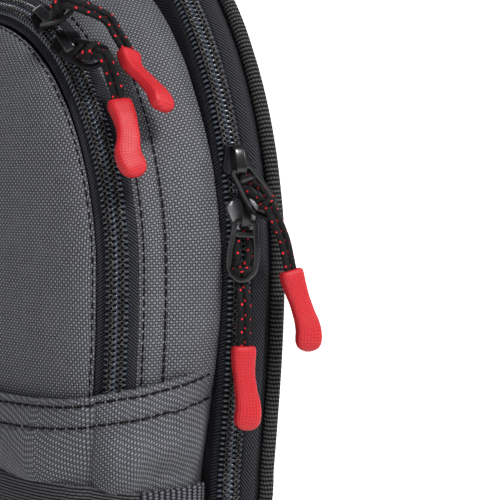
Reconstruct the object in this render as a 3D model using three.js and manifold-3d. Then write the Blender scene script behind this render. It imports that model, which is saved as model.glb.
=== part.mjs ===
// A chest pack for fishing: a slim main compartment with an arched zip, a grey front pocket with its
// own zip, a hemmed slip pocket, four zip pulls on cords and a plain shoulder harness.
// Millimetres. The front faces -Y, +X is to the right seen from the front, +Z is up.
// The origin is on the underside of the grey pocket, where the pack stands.
import * as THREE from "three";
import { mergeVertices } from "three/addons/utils/BufferGeometryUtils.js";
import Module from "manifold-3d";

const wasm = await Module();
wasm.setup();

// Driving sizes of the main compartment
const PACK_WIDTH = 200;
const PACK_HEIGHT = 235;
const WIDEST_LEVEL = 105;
const BACK_EDGE_Y = 44;
const MAIN_ZIP_Y = 28;
const MAIN_FRONT_Y = 23;
const CORNER_RADIUS = 34;
const SIDE_LEAN = 12;
const CLOTH = 1.8;

// Driving sizes of the front pocket
const POCKET_INSET = 7;
const POCKET_WIDTH = PACK_WIDTH - 2 * POCKET_INSET;
const POCKET_HEIGHT = 216;
const POCKET_EDGE_Y = -6;
const PANEL_EDGE_Y = -16;
const PANEL_DOME = 13;
const HEM_LEVEL = 63;
const HEM_SLOPE_DEG = 12;
const SLIP_CLOTH = 1.6;
const SLIP_FOOT = 4;

// Driving sizes of the trim
const COIL_WIDTH = 7.6;
const COIL_RISE = 2.2;
const TAPE_MARGIN = 1.6;
const ZIP_END_LEVEL = 22;
const FRONT_ZIP_END_LEVEL = 48;
const BINDING_WIDTH = 5.2;
const BINDING_RISE = 2.6;
const WEBBING_WIDTH = 25;
const WEBBING_THICKNESS = 1.6;
const WEBBING_LEVEL = 20.5;
const GAP = 0.3;

// Driving sizes of the zip pulls
const SLIDER_LENGTH = 11;
const SLIDER_WIDTH = 10.8;
const SLIDER_THICKNESS = 2.2;
const BRIDGE_RISE = 3;
const BRIDGE_WIDTH = 3.2;
const TAB_LENGTH = 19;
const TAB_WIDTH = 10.6;
const TAB_RIM = 1.5;
const TAB_THICKNESS = 1.2;
const CORD_DIAMETER = 2.2;
const KNOT_DIAMETER = 5.8;
const PULLER_LENGTH = 27;
const PULLER_WIDTH = 8.4;
const PULLER_THICKNESS = 5;

// Driving sizes of the back and the harness
const BACK_PAD_THICKNESS = 8;
const BACK_PAD_MARGIN = 16;
const BACK_PAD_EDGE = 3;
const SHOULDER_PAD_WIDTH = 44;
const SHOULDER_PAD_THICKNESS = 5.5;
const SHOULDER_SPREAD = 27;
const SHOULDER_TOP_LEVEL = 196;
const SHOULDER_END_LEVEL = 92;
const ANCHOR_SPREAD = 58;
const ANCHOR_LEVEL = 27;
const ADJUSTER_LENGTH = 18;
const ADJUSTER_WIDTH = 31;
const ADJUSTER_THICKNESS = 4;

const fabricBlack = { color: 0x26272b, roughness: 0.9, metalness: 0 };
const fabricGrey = { color: 0x5c5e64, roughness: 0.88, metalness: 0 };
const coilBlack = { color: 0x15171c, roughness: 0.35, metalness: 0 };
const metalBlack = { color: 0x1b1c1e, roughness: 0.3, metalness: 0.8 };
const cordBlack = { color: 0x18181a, roughness: 0.85, metalness: 0 };
const rubberRed = { color: 0xf0373c, roughness: 0.5, metalness: 0 };
const plasticBlack = { color: 0x1d1d1f, roughness: 0.45, metalness: 0 };

const pack = new THREE.Group();

function addMesh(name, geometry, finish, parent = pack) {
  const mesh = new THREE.Mesh(geometry, new THREE.MeshStandardMaterial(finish));
  mesh.name = name;
  parent.add(mesh);
  return mesh;
}

// A section of the pack seen from the front, as points [x, z] round it from the base's middle,
// up the right side, over the arch and down the left side.
function outline({ width, height, lean = SIDE_LEAN, lift = 0 }) {
  const half = width / 2;
  const level = WIDEST_LEVEL;
  const foot = half - lean * 0.45;
  const rise = height - level;
  const v = (x, z) => new THREE.Vector2(x, z);
  const corner = Math.min(CORNER_RADIUS, half * 0.6);
  const stretches = [
    [new THREE.LineCurve(v(0, lift), v(foot - corner, lift)), 3],
    [new THREE.QuadraticBezierCurve(v(foot - corner, lift), v(foot, lift), v(foot, lift + corner)), 3],
    [
      new THREE.CubicBezierCurve(
        v(foot, lift + corner),
        v(foot + lean * 0.1, lift + corner * 1.4),
        v(half, level - (level - corner) * 0.45),
        v(half, level),
      ),
      4,
    ],
    [
      new THREE.CubicBezierCurve(
        v(half, level),
        v(half, level + rise * 0.41),
        v(half * 0.69, height),
        v(0, height),
      ),
      10,
    ],
  ];
  const right = stretches.flatMap(([curve, steps]) => curve.getPoints(steps).slice(0, -1));
  const left = right.slice(1).reverse();
  return [...right.map((p) => [p.x, p.y]), [0, height], ...left.map((p) => [-p.x, p.y])];
}

// The outward directions of an outline's points.
function outwards(points) {
  return points.map((_, i) => {
    const [ax, az] = points[(i + points.length - 1) % points.length];
    const [bx, bz] = points[(i + 1) % points.length];
    const length = Math.hypot(bx - ax, bz - az);
    return [(bz - az) / length, (ax - bx) / length];
  });
}

// One ring of a shell: an outline at depth y, moved outwards by out. y may be a function of the level.
function ring(section, out = 0) {
  const points = outline(section);
  const away = outwards(points);
  const depth = typeof section.y === "function" ? section.y : () => section.y;
  return points.map(
    ([x, z], i) => new THREE.Vector3(x + away[i][0] * out, depth(z), z + away[i][1] * out),
  );
}

function middle(points) {
  return points.reduce((sum, p) => sum.add(p), new THREE.Vector3()).divideScalar(points.length);
}

// A closed solid through rings of equal length, with its two ends closed to a point or joined
// to each other.
function loft(rings, joined = false) {
  const count = rings[0].length;
  const positions = rings.flat().flatMap((p) => [p.x, p.y, p.z]);
  const faces = [];
  const rows = joined ? rings.length : rings.length - 1;
  for (let row = 0; row < rows; row += 1) {
    const next = (row + 1) % rings.length;
    for (let i = 0; i < count; i += 1) {
      const j = (i + 1) % count;
      const [a, b, c, d] = [row * count + i, row * count + j, next * count + j, next * count + i];
      faces.push(a, b, c, a, c, d);
    }
  }
  if (!joined) {
    [0, rings.length - 1].forEach((row, end) => {
      const hub = positions.length / 3;
      const centre = middle(rings[row]);
      positions.push(centre.x, centre.y, centre.z);
      for (let i = 0; i < count; i += 1) {
        const [a, b] = [row * count + i, row * count + ((i + 1) % count)];
        faces.push(...(end ? [hub, a, b] : [hub, b, a]));
      }
    });
  }
  const geometry = new THREE.BufferGeometry();
  geometry.setAttribute("position", new THREE.Float32BufferAttribute(positions, 3));
  geometry.setIndex(faces);
  return facingOut(geometry);
}

// Turns the faces round if they point inwards.
function facingOut(geometry) {
  const at = geometry.getAttribute("position");
  const index = geometry.getIndex().array;
  const corner = (i) => new THREE.Vector3().fromBufferAttribute(at, index[i]);
  let volume = 0;
  for (let i = 0; i < index.length; i += 3) {
    volume += corner(i).dot(corner(i + 1).cross(corner(i + 2)));
  }
  if (volume < 0) {
    for (let i = 0; i < index.length; i += 3) {
      [index[i + 1], index[i + 2]] = [index[i + 2], index[i + 1]];
    }
  }
  geometry.computeVertexNormals();
  return geometry;
}

function toSolid(geometry) {
  const bare = geometry.clone();
  bare.deleteAttribute("normal");
  bare.deleteAttribute("uv");
  const merged = mergeVertices(bare, 1e-4);
  return new wasm.Manifold(
    new wasm.Mesh({
      numProp: 3,
      vertProperties: new Float32Array(merged.getAttribute("position").array),
      triVerts: new Uint32Array(merged.getIndex().array),
    }),
  );
}

// A joined or cut solid's geometry, with edges shorter than SHORT_EDGE closed up.
const SHORT_EDGE = 0.06;
function fromSolid(solid) {
  const mesh = solid.getMesh();
  const at = (i) => new THREE.Vector3().fromArray(mesh.vertProperties, i * 3);
  const into = Array.from({ length: mesh.vertProperties.length / 3 }, (_, i) => i);
  const last = (i) => (into[i] === i ? i : last(into[i]));
  const triangles = Array.from({ length: mesh.triVerts.length / 3 }, (_, i) => [
    ...mesh.triVerts.slice(i * 3, i * 3 + 3),
  ]);
  triangles.forEach(([a, b, c]) => {
    [[a, b], [b, c], [c, a]].forEach(([from, to]) => {
      if (at(last(from)).distanceTo(at(last(to))) < SHORT_EDGE) {
        into[last(from)] = last(to);
      }
    });
  });
  const kept = triangles
    .map((corners) => corners.map(last))
    .filter(([a, b, c]) => a !== b && b !== c && c !== a);
  const geometry = new THREE.BufferGeometry();
  geometry.setAttribute("position", new THREE.Float32BufferAttribute(mesh.vertProperties, 3));
  geometry.setIndex(kept.flat());
  geometry.computeVertexNormals();
  return geometry;
}

// The main compartment's sections, as shares of its width and height.
const MAIN_SECTIONS = [
  { y: BACK_EDGE_Y, width: 1, height: 1 },
  { y: MAIN_ZIP_Y + 10, width: 0.986, height: 0.99 },
  { y: MAIN_ZIP_Y, width: 0.963, height: 0.97 },
  { y: MAIN_FRONT_Y, width: 0.95, height: 0.958 },
].map((s) => ({ y: s.y, width: s.width * PACK_WIDTH, height: s.height * PACK_HEIGHT }));

// The front pocket's sections, as shares of its width and height.
const POCKET_BACK_Y = MAIN_FRONT_Y - GAP;
const POCKET_DEPTH = POCKET_BACK_Y - POCKET_EDGE_Y;
const POCKET_SECTIONS = [
  { depth: 0, width: 1, height: 1, lean: 2 },
  { depth: 0.28, width: 1.003, height: 0.985, lean: 1.4 },
  { depth: 0.64, width: 0.982, height: 0.96, lean: 1.1 },
  { depth: 1, width: 0.946, height: 0.92, lean: 1 },
].map((s) => ({
  y: POCKET_BACK_Y - s.depth * POCKET_DEPTH,
  width: s.width * POCKET_WIDTH,
  height: s.height * POCKET_HEIGHT,
  lean: s.lean * SIDE_LEAN,
}));

// The front panel's sections, from its edge to its crown, as shares of the pocket's sizes.
const PANEL_SECTIONS = [
  { dome: 0, width: 0.86, height: 0.87, lift: 0.02 },
  { dome: 0.5, width: 0.78, height: 0.81, lift: 0.05 },
  { dome: 0.84, width: 0.58, height: 0.7, lift: 0.12 },
  { dome: 1, width: 0.28, height: 0.56, lift: 0.25 },
].map((s) => ({
  y: PANEL_EDGE_Y - s.dome * PANEL_DOME,
  width: s.width * POCKET_WIDTH,
  height: s.height * POCKET_HEIGHT,
  lift: s.lift * POCKET_HEIGHT,
}));

function between(sections, y) {
  const order = [...sections].sort((a, b) => a.y - b.y);
  const last = order.length - 2;
  const found = order.findIndex((s, i) => i < order.length - 1 && y <= order[i + 1].y);
  const i = found < 0 ? last : found;
  const [a, b] = [order[i], order[i + 1]];
  const share = THREE.MathUtils.clamp((y - a.y) / (b.y - a.y), 0, 1);
  const mix = (key, rest) => THREE.MathUtils.lerp(a[key] ?? rest, b[key] ?? rest, share);
  const [width, height] = [mix("width"), mix("height")];
  return { y, width, height, lean: mix("lean", SIDE_LEAN), lift: mix("lift", 0) };
}

// How far the two sides of a zip stand apart at a level: fully over the arch, closed at the base.
function parted(end) {
  return (z) => THREE.MathUtils.smoothstep(z, end - 6, end);
}

const mainParted = parted(ZIP_END_LEVEL);
const TAPE_HALF = COIL_WIDTH / 2 + TAPE_MARGIN;
const mainRearEdge = (z) => MAIN_ZIP_Y + GAP / 2 + mainParted(z) * TAPE_HALF;
const FRONT_REACH = MAIN_ZIP_Y - MAIN_FRONT_Y - GAP - CLOTH;
const mainFrontEdge = (z) => MAIN_ZIP_Y - GAP / 2 - mainParted(z) * FRONT_REACH;

// Rear half of the main compartment: back wall and gusset, open to the front.
const GROOVE_Y = BACK_EDGE_Y - BINDING_WIDTH - GAP;
const shellBack = between(MAIN_SECTIONS, BACK_EDGE_Y - GAP);
const groove = between(MAIN_SECTIONS, GROOVE_Y);
const ridge = between(MAIN_SECTIONS, GROOVE_Y - 1);
const rearEdge = { ...between(MAIN_SECTIONS, MAIN_ZIP_Y + TAPE_HALF), y: mainRearEdge };
const SEAT = -BINDING_RISE - GAP;
addMesh(
  "rear_shell",
  loft([
    ring(shellBack, SEAT - 1),
    ring(shellBack, SEAT),
    ring(groove, SEAT),
    ring(ridge, 0),
    ring(rearEdge, 0),
    ring(rearEdge, -CLOTH),
    ring(ridge, -CLOTH),
    ring({ ...groove, y: BACK_EDGE_Y - GAP - CLOTH }, SEAT - CLOTH),
  ]),
  fabricBlack,
);

// Front half of the main compartment: front wall and a short gusset, open to the back.
const mainFace = between(MAIN_SECTIONS, MAIN_FRONT_Y);
const frontEdge = { ...between(MAIN_SECTIONS, MAIN_ZIP_Y), y: mainFrontEdge };
addMesh(
  "main_front",
  loft([
    ring(mainFace, -1),
    ring(mainFace, 0),
    ring(frontEdge, 0),
    ring(frontEdge, -CLOTH),
    ring({ ...mainFace, y: MAIN_FRONT_Y + CLOTH }, -CLOTH - 0.5),
  ]),
  fabricBlack,
);

// A band that follows an outline above a level, with a section of [y, out] points.
function archBand(sectionAt, profile, endLevel) {
  const rings = profile.map(([y, out]) => ring({ ...sectionAt(y), y }, out));
  const reference = outline(sectionAt(profile[0][0]));
  const kept = reference.map((p, i) => [p[1], i]).filter(([z]) => z >= endLevel).map(([, i]) => i);
  return loft(kept.map((i) => rings.map((points) => points[i])));
}

const mainAt = () => between(MAIN_SECTIONS, MAIN_ZIP_Y);
const tapeFront = mainFrontEdge(PACK_HEIGHT) + GAP;
const tapeRear = MAIN_ZIP_Y + TAPE_HALF - GAP;
addMesh(
  "main_zipper_tape",
  archBand(mainAt, [[tapeFront, 0], [tapeRear, 0], [tapeRear, -CLOTH], [tapeFront, -CLOTH]], ZIP_END_LEVEL),
  fabricBlack,
);

// The coil's section: a low hump on the tape.
function coilProfile(centre) {
  const half = COIL_WIDTH / 2;
  return [
    [centre - half, GAP],
    [centre - half, GAP + COIL_RISE * 0.6],
    [centre - half * 0.6, GAP + COIL_RISE],
    [centre + half * 0.6, GAP + COIL_RISE],
    [centre + half, GAP + COIL_RISE * 0.6],
    [centre + half, GAP],
  ];
}
addMesh("main_zipper_coil", archBand(mainAt, coilProfile(MAIN_ZIP_Y), ZIP_END_LEVEL), coilBlack);

// The ribbed binding round the back edge, half round on a flat seat.
const BINDING_SIDES = 5;
const bindingRings = Array.from({ length: BINDING_SIDES + 1 }, (_, i) => {
  const turn = (Math.PI * i) / BINDING_SIDES;
  const y = BACK_EDGE_Y - (BINDING_WIDTH / 2) * (1 - Math.cos(turn));
  return ring({ ...between(MAIN_SECTIONS, BACK_EDGE_Y), y }, -BINDING_RISE * (1 - Math.sin(turn)));
});
addMesh("edge_binding", loft(bindingRings, true), fabricBlack);

// The grey gusset of the front pocket: a ring, open at the back and the front.
const FRONT_ZIP_Y = (POCKET_EDGE_Y + PANEL_EDGE_Y) / 2;
addMesh(
  "pocket_gusset",
  loft(
    [
      ...POCKET_SECTIONS.map((s) => ring(s, 0)),
      ...[...POCKET_SECTIONS].reverse().map((s) => ring(s, -CLOTH)),
    ],
    true,
  ),
  fabricGrey,
);

// The front panel: a shallow dome, open to the back.
addMesh(
  "front_panel",
  loft([
    ...[...PANEL_SECTIONS].reverse().map((s) => ring(s, 0)),
    ...PANEL_SECTIONS.map((s, i) => ring({ ...s, y: s.y + (i ? CLOTH : 0) }, -CLOTH * (i ? 0.6 : 1))),
  ]),
  fabricGrey,
);

// The front zip lies on the slope between the gusset and the panel, and its tape closes the ring
// under the slip pocket.
const slopeAt = (y) => between([POCKET_SECTIONS.at(-1), PANEL_SECTIONS[0]], y);
const frontTape = [
  [POCKET_EDGE_Y - GAP, 0],
  [PANEL_EDGE_Y + GAP, 0],
  [PANEL_EDGE_Y + GAP, -CLOTH],
  [POCKET_EDGE_Y - GAP, -CLOTH],
];
addMesh(
  "front_zipper_tape",
  loft(frontTape.map(([y, out]) => ring(slopeAt(y), out)), true),
  fabricBlack,
);

// A block below the hem's plane, which rises towards the back; up moves it up.
function belowHem(up = 0) {
  const size = PACK_WIDTH * 3;
  const block = new THREE.BoxGeometry(size, size, size);
  const tilt = new THREE.Matrix4().makeRotationX(THREE.MathUtils.degToRad(HEM_SLOPE_DEG));
  const seat = new THREE.Matrix4().makeTranslation(0, PANEL_EDGE_Y, HEM_LEVEL + up);
  const drop = new THREE.Matrix4().makeTranslation(0, 0, -size / 2);
  block.applyMatrix4(seat.multiply(tilt).multiply(drop));
  return toSolid(block);
}

function boxBetween([x0, y0, z0], [x1, y1, z1]) {
  const block = new THREE.BoxGeometry(x1 - x0, y1 - y0, z1 - z0);
  block.translate((x0 + x1) / 2, (y0 + y1) / 2, (z0 + z1) / 2);
  return toSolid(block);
}

const frontCoil = archBand(slopeAt, coilProfile(FRONT_ZIP_Y), FRONT_ZIP_END_LEVEL);
addMesh("front_zipper_coil", fromSolid(toSolid(frontCoil).subtract(belowHem(GAP))), coilBlack);

// The whole front pocket as one solid, grown outwards by out: what lies over it is cut from this.
function pocketForm(out) {
  const rear = { ...POCKET_SECTIONS[0], y: POCKET_BACK_Y + 1 };
  const front = PANEL_SECTIONS.map((s) => ring({ ...s, y: s.y - out }, out * 0.5));
  return toSolid(loft([ring(rear, out), ...POCKET_SECTIONS.map((s) => ring(s, out)), ...front]));
}

// A layer of cloth on the pocket, from one distance to another, inside a block.
function layer(from, to, block) {
  return fromSolid(pocketForm(to).subtract(pocketForm(from)).intersect(block));
}

const reach = PACK_WIDTH;
const slipOut = GAP + SLIP_CLOTH;
const slipBlock = belowHem().intersect(
  boxBetween([-reach, -reach, SLIP_FOOT], [reach, POCKET_BACK_Y - GAP, PACK_HEIGHT]),
);
addMesh("slip_panel", layer(GAP, slipOut, slipBlock), fabricGrey);

// Webbing over the slip pocket: a band round the front and a short piece on each side.
const webOut = slipOut + GAP;
const webLow = WEBBING_LEVEL - WEBBING_WIDTH / 2;
const webTop = WEBBING_LEVEL + WEBBING_WIDTH / 2;
const SIDE_WEB = { front: POCKET_EDGE_Y + 3, back: POCKET_BACK_Y - 4 };
const frontWebBlock = boxBetween([-reach, -reach, webLow], [reach, SIDE_WEB.front - GAP, webTop]);
addMesh("front_webbing", layer(webOut, webOut + WEBBING_THICKNESS, frontWebBlock), fabricBlack);
[["right", 1], ["left", -1]].forEach(([side, sign]) => {
  const [x0, x1] = sign > 0 ? [POCKET_WIDTH / 4, reach] : [-reach, -POCKET_WIDTH / 4];
  const block = boxBetween([x0, SIDE_WEB.front, webLow], [x1, SIDE_WEB.back, webTop]);
  addMesh(`side_webbing_${side}`, layer(webOut, webOut + WEBBING_THICKNESS, block), fabricGrey);
});

// Where a zip runs at a level on the right side: the place, and the directions across, along and out.
function zipFrame(sectionAt, y, level) {
  const place = (depth) => {
    const points = ring({ ...sectionAt(depth), y: depth });
    const i = points.findIndex((p, k) => k > 3 && p.z >= level);
    const share = (level - points[i - 1].z) / (points[i].z - points[i - 1].z);
    return [points[i - 1].clone().lerp(points[i], share), points[i].clone().sub(points[i - 1]).normalize()];
  };
  const [at, along] = place(y);
  const across = place(y + 1)[0].sub(place(y - 1)[0]);
  across.addScaledVector(along, -across.dot(along)).normalize();
  return { at, across, along, out: new THREE.Vector3().crossVectors(across, along) };
}

// A slider: a shield-shaped plate over the coil, with a bridge that the tab hangs from.
function sliderGeometry() {
  const half = SLIDER_WIDTH / 2;
  const long = SLIDER_LENGTH / 2;
  const plate = new THREE.Shape();
  plate.moveTo(-half * 0.55, -long);
  plate.lineTo(half * 0.55, -long);
  plate.lineTo(half * 0.8, -long * 0.3);
  plate.lineTo(half, long * 0.45);
  plate.lineTo(half * 0.75, long);
  plate.lineTo(0, long * 0.8);
  plate.lineTo(-half * 0.75, long);
  plate.lineTo(-half, long * 0.45);
  plate.lineTo(-half * 0.8, -long * 0.3);
  plate.closePath();
  const body = new THREE.ExtrudeGeometry(plate, { depth: SLIDER_THICKNESS, bevelEnabled: false });
  const side = new THREE.Shape();
  const foot = long * 0.82;
  side.moveTo(-foot, -0.4);
  side.lineTo(foot, -0.4);
  side.lineTo(foot * 0.88, BRIDGE_RISE);
  side.lineTo(-foot * 0.88, BRIDGE_RISE);
  side.closePath();
  const window = new THREE.Path();
  window.moveTo(-foot * 0.74, 0.1);
  window.lineTo(foot * 0.74, 0.1);
  window.lineTo(foot * 0.7, BRIDGE_RISE * 0.76);
  window.lineTo(-foot * 0.7, BRIDGE_RISE * 0.76);
  window.closePath();
  side.holes.push(window);
  const bridge = new THREE.ExtrudeGeometry(side, { depth: BRIDGE_WIDTH, bevelEnabled: false });
  bridge.translate(0, 0, -BRIDGE_WIDTH / 2);
  bridge.applyMatrix4(
    new THREE.Matrix4().set(0, 0, 1, 0, 1, 0, 0, 0, 0, 1, 0, SLIDER_THICKNESS, 0, 0, 0, 1),
  );
  return fromSolid(toSolid(body).add(toSolid(bridge)));
}

// A pull tab: a flat oval frame with a crossbar. Its upper bar sits in the slider's bridge.
const CROSSBAR_SHARE = 0.37;
function tabGeometry() {
  const half = TAB_WIDTH / 2;
  const low = -TAB_LENGTH;
  const top = TAB_RIM / 2;
  const frame = new THREE.Shape();
  frame.moveTo(half * 0.74, top);
  frame.lineTo(-half * 0.74, top);
  frame.lineTo(-half * 0.86, low * 0.18);
  frame.lineTo(-half, low * 0.5);
  frame.lineTo(-half * 0.94, low * 0.78);
  frame.lineTo(-half * 0.5, low * 0.96);
  frame.lineTo(0, low);
  frame.lineTo(half * 0.5, low * 0.96);
  frame.lineTo(half * 0.94, low * 0.78);
  frame.lineTo(half, low * 0.5);
  frame.lineTo(half * 0.86, low * 0.18);
  frame.closePath();
  const eye = new THREE.Path();
  eye.moveTo(half * 0.74 - TAB_RIM * 0.7, -top);
  eye.lineTo(-half * 0.74 + TAB_RIM * 0.7, -top);
  eye.lineTo(-half * 0.86 + TAB_RIM, low * CROSSBAR_SHARE + TAB_RIM / 2);
  eye.lineTo(half * 0.86 - TAB_RIM, low * CROSSBAR_SHARE + TAB_RIM / 2);
  eye.closePath();
  const hole = new THREE.Path();
  const inner = half - TAB_RIM;
  hole.moveTo(inner * 0.94, low * CROSSBAR_SHARE - TAB_RIM / 2);
  hole.lineTo(-inner * 0.94, low * CROSSBAR_SHARE - TAB_RIM / 2);
  hole.lineTo(-inner, low * 0.5);
  hole.lineTo(-inner * 0.92, low * 0.76);
  hole.lineTo(-inner * 0.4, low * 0.9);
  hole.lineTo(inner * 0.4, low * 0.9);
  hole.lineTo(inner * 0.92, low * 0.76);
  hole.lineTo(inner, low * 0.5);
  hole.closePath();
  frame.holes.push(eye, hole);
  const tab = new THREE.ExtrudeGeometry(frame, { depth: TAB_THICKNESS, bevelEnabled: false });
  tab.translate(0, 0, -TAB_THICKNESS / 2);
  return tab;
}

// A tube along a list of points.
function tube(points, diameter, steps = 12, sides = 8) {
  const circle = new THREE.Shape(
    Array.from({ length: sides }, (_, i) => {
      const turn = (2 * Math.PI * i) / sides;
      return new THREE.Vector2((Math.cos(turn) * diameter) / 2, (Math.sin(turn) * diameter) / 2);
    }),
  );
  const extrudePath = new THREE.CatmullRomCurve3(points, false, "centripetal");
  return new THREE.ExtrudeGeometry(circle, { steps, bevelEnabled: false, extrudePath });
}

// The rubber puller's sections, from where the cords enter to its tip.
const PULLER_SECTIONS = [
  { along: 0, width: 0.86, thickness: 0.7 },
  { along: 0.04, width: 1, thickness: 0.9 },
  { along: 0.3, width: 0.8, thickness: 1 },
  { along: 0.55, width: 0.84, thickness: 0.9 },
  { along: 0.8, width: 1, thickness: 0.8 },
  { along: 0.97, width: 0.9, thickness: 0.6 },
  { along: 1, width: 0.6, thickness: 0.3 },
];

// A puller along a curve, flat towards the given direction.
function pullerGeometry(points, towards) {
  const curve = new THREE.CatmullRomCurve3(points, false, "centripetal");
  const scale = PULLER_LENGTH / curve.getLength();
  const start = points[0];
  return loft(
    PULLER_SECTIONS.map((s) => {
      const at = start.clone().lerp(curve.getPointAt(s.along), scale);
      const ahead = curve.getTangentAt(s.along);
      const side = new THREE.Vector3().crossVectors(ahead, towards).normalize();
      const face = new THREE.Vector3().crossVectors(side, ahead).normalize();
      return Array.from({ length: 10 }, (_, i) => {
        const turn = (2 * Math.PI * i) / 10;
        return at
          .clone()
          .addScaledVector(side, (Math.cos(turn) * s.width * PULLER_WIDTH) / 2)
          .addScaledVector(face, (Math.sin(turn) * s.thickness * PULLER_THICKNESS) / 2);
      });
    }),
  );
}

// The four zip pulls. level is where the slider sits on the right side of its arch, as a share of the
// arch's height. swing turns the tab from the zip's line towards the back, and lift takes it off the
// cloth. The cord's and the puller's routes are in tab lengths from the slider's seat.
const PULLS = [
  {
    name: "main_lower",
    zip: "main",
    level: 0.515,
    swing: -10,
    lift: 2,
    cord: [[0.342, -0.211, -1.498], [0.31, -0.189, -1.866], [0.305, -0.189, -2.187]],
    puller: [
      [0.305, -0.189, -2.208], [0.315, -0.2, -2.556], [0.352, -0.184, -2.924],
      [0.394, -0.168, -3.256], [0.384, -0.216, -3.603],
    ],
  },
  {
    name: "main_upper",
    zip: "main",
    level: 0.583,
    swing: 16,
    lift: 22,
    cord: [[0.808, 0.379, -1.287], [0.818, 0.447, -1.519], [0.829, 0.5, -1.75]],
    puller: [
      [0.829, 0.511, -1.803], [0.887, 0.579, -2.119], [0.966, 0.668, -2.472],
      [1.039, 0.737, -2.824], [1.039, 0.716, -3.182],
    ],
  },
  {
    name: "front_lower",
    zip: "front",
    level: 0.801,
    swing: 22,
    lift: 14,
    cord: [[1.186, 0.105, -0.564], [1.254, 0.126, -0.764], [1.307, 0.132, -0.943]],
    puller: [
      [1.323, 0.126, -0.98], [1.481, 0.079, -1.217], [1.644, 0.047, -1.48],
      [1.797, 0.042, -1.759], [1.918, 0.042, -2.038],
    ],
  },
  {
    name: "front_upper",
    zip: "front",
    level: 0.845,
    swing: 22,
    lift: 26,
    cord: [[1.357, 0.311, -0.036], [1.541, 0.432, -0.331], [1.71, 0.516, -0.605]],
    puller: [
      [1.736, 0.516, -0.642], [1.941, 0.542, -0.857], [2.152, 0.574, -1.068],
      [2.341, 0.579, -1.278], [2.541, 0.637, -1.494],
    ],
  },
];
const ZIPS = {
  main: { sectionAt: mainAt, y: MAIN_ZIP_Y, height: PACK_HEIGHT },
  front: { sectionAt: slopeAt, y: FRONT_ZIP_Y, height: POCKET_HEIGHT },
};
const STRAND_SPREAD = CORD_DIAMETER + 2 * GAP;
const KNOT_SHARE = 0.76;
const KNOT_TURN = 1.05;
const BAR_PLACE = 0.15;

function basis(x, y, z) {
  return new THREE.Quaternion().setFromRotationMatrix(new THREE.Matrix4().makeBasis(x, y, z));
}

// The knot under the tab's crossbar: a slanted loop through both holes, with a round lump below.
function knotGeometry(bar, lump, down, side, face) {
  const clear = TAB_THICKNESS / 2 + CORD_DIAMETER / 2 + GAP * 2;
  const above = TAB_RIM / 2 + CORD_DIAMETER / 2 + GAP * 2;
  const slant = face.clone().multiplyScalar(0.86).addScaledVector(side, 0.5).normalize();
  const loop = [
    lump.clone().addScaledVector(side, STRAND_SPREAD / 2),
    bar.clone().addScaledVector(slant, clear * 1.2),
    bar.clone().addScaledVector(down, -above),
    bar.clone().addScaledVector(slant, -clear * 1.1),
    bar.clone().addScaledVector(down, above * 1.4).addScaledVector(slant, -clear * 0.3),
    lump.clone().addScaledVector(side, -STRAND_SPREAD / 2),
  ];
  const ball = new THREE.IcosahedronGeometry(KNOT_DIAMETER / 2, 1);
  ball.rotateZ(KNOT_TURN);
  ball.translate(lump.x, lump.y, lump.z);
  return fromSolid(toSolid(tube(loop, CORD_DIAMETER, 16, 6)).add(toSolid(ball)));
}

PULLS.forEach(({ name, zip, level, swing, lift, cord, puller }) => {
  const { sectionAt, y, height } = ZIPS[zip];
  const frame = zipFrame(sectionAt, y, level * height);
  const radial = new THREE.Vector3(frame.out.x, 0, frame.out.z).normalize();
  const seat = frame.at.clone().addScaledVector(radial, COIL_RISE + 2 * GAP);
  const slider = new THREE.Group();
  slider.position.copy(seat);
  slider.quaternion.copy(basis(frame.across, frame.along, frame.out));
  pack.add(slider);
  addMesh(`${name}_slider`, sliderGeometry(), metalBlack, slider);

  const turn = THREE.MathUtils.degToRad(swing);
  const rise = THREE.MathUtils.degToRad(lift);
  const down = frame.along
    .clone()
    .multiplyScalar(-Math.cos(turn) * Math.cos(rise))
    .addScaledVector(frame.across, Math.sin(turn) * Math.cos(rise))
    .addScaledVector(frame.out, Math.sin(rise));
  const side = new THREE.Vector3().crossVectors(frame.out, down).normalize();
  const face = new THREE.Vector3().crossVectors(down, side);
  const pivot = seat
    .clone()
    .addScaledVector(frame.out, SLIDER_THICKNESS + BRIDGE_RISE * 0.4)
    .addScaledVector(frame.along, -SLIDER_LENGTH * BAR_PLACE);
  const tab = new THREE.Group();
  tab.position.copy(pivot);
  tab.quaternion.copy(basis(side, down.clone().negate(), face));
  pack.add(tab);
  addMesh(`${name}_tab`, tabGeometry(), metalBlack, tab);

  const bar = pivot.clone().addScaledVector(down, TAB_LENGTH * CROSSBAR_SHARE);
  const lump = pivot
    .clone()
    .addScaledVector(down, TAB_LENGTH * KNOT_SHARE)
    .addScaledVector(face, KNOT_DIAMETER / 2 + TAB_THICKNESS / 2 + GAP);
  addMesh(`${name}_knot`, knotGeometry(bar, lump, down, side, face), cordBlack);

  const fromSeat = (p) => new THREE.Vector3(...p).multiplyScalar(TAB_LENGTH).add(seat);
  const points = cord.map(fromSeat);
  const overRim = pivot
    .clone()
    .addScaledVector(down, TAB_LENGTH + CORD_DIAMETER / 2)
    .addScaledVector(face, (CORD_DIAMETER + TAB_THICKNESS) / 2 + GAP * 2);
  const leave = overRim.clone().sub(lump).normalize();
  const start = lump.clone().addScaledVector(leave, KNOT_DIAMETER / 2 + GAP * 3);
  const route = [start, overRim, ...points];
  const wide = new THREE.Vector3().crossVectors(points.at(-1).clone().sub(start), face).normalize();
  [["a", -1], ["b", 1]].forEach(([strand, sign]) => {
    const apart = route.map((p) => p.clone().addScaledVector(wide, (sign * STRAND_SPREAD) / 2));
    addMesh(`${name}_cord_${strand}`, tube(apart, CORD_DIAMETER), cordBlack);
  });
  addMesh(`${name}_puller`, pullerGeometry(puller.map(fromSeat), frame.out), rubberRed);
});

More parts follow.
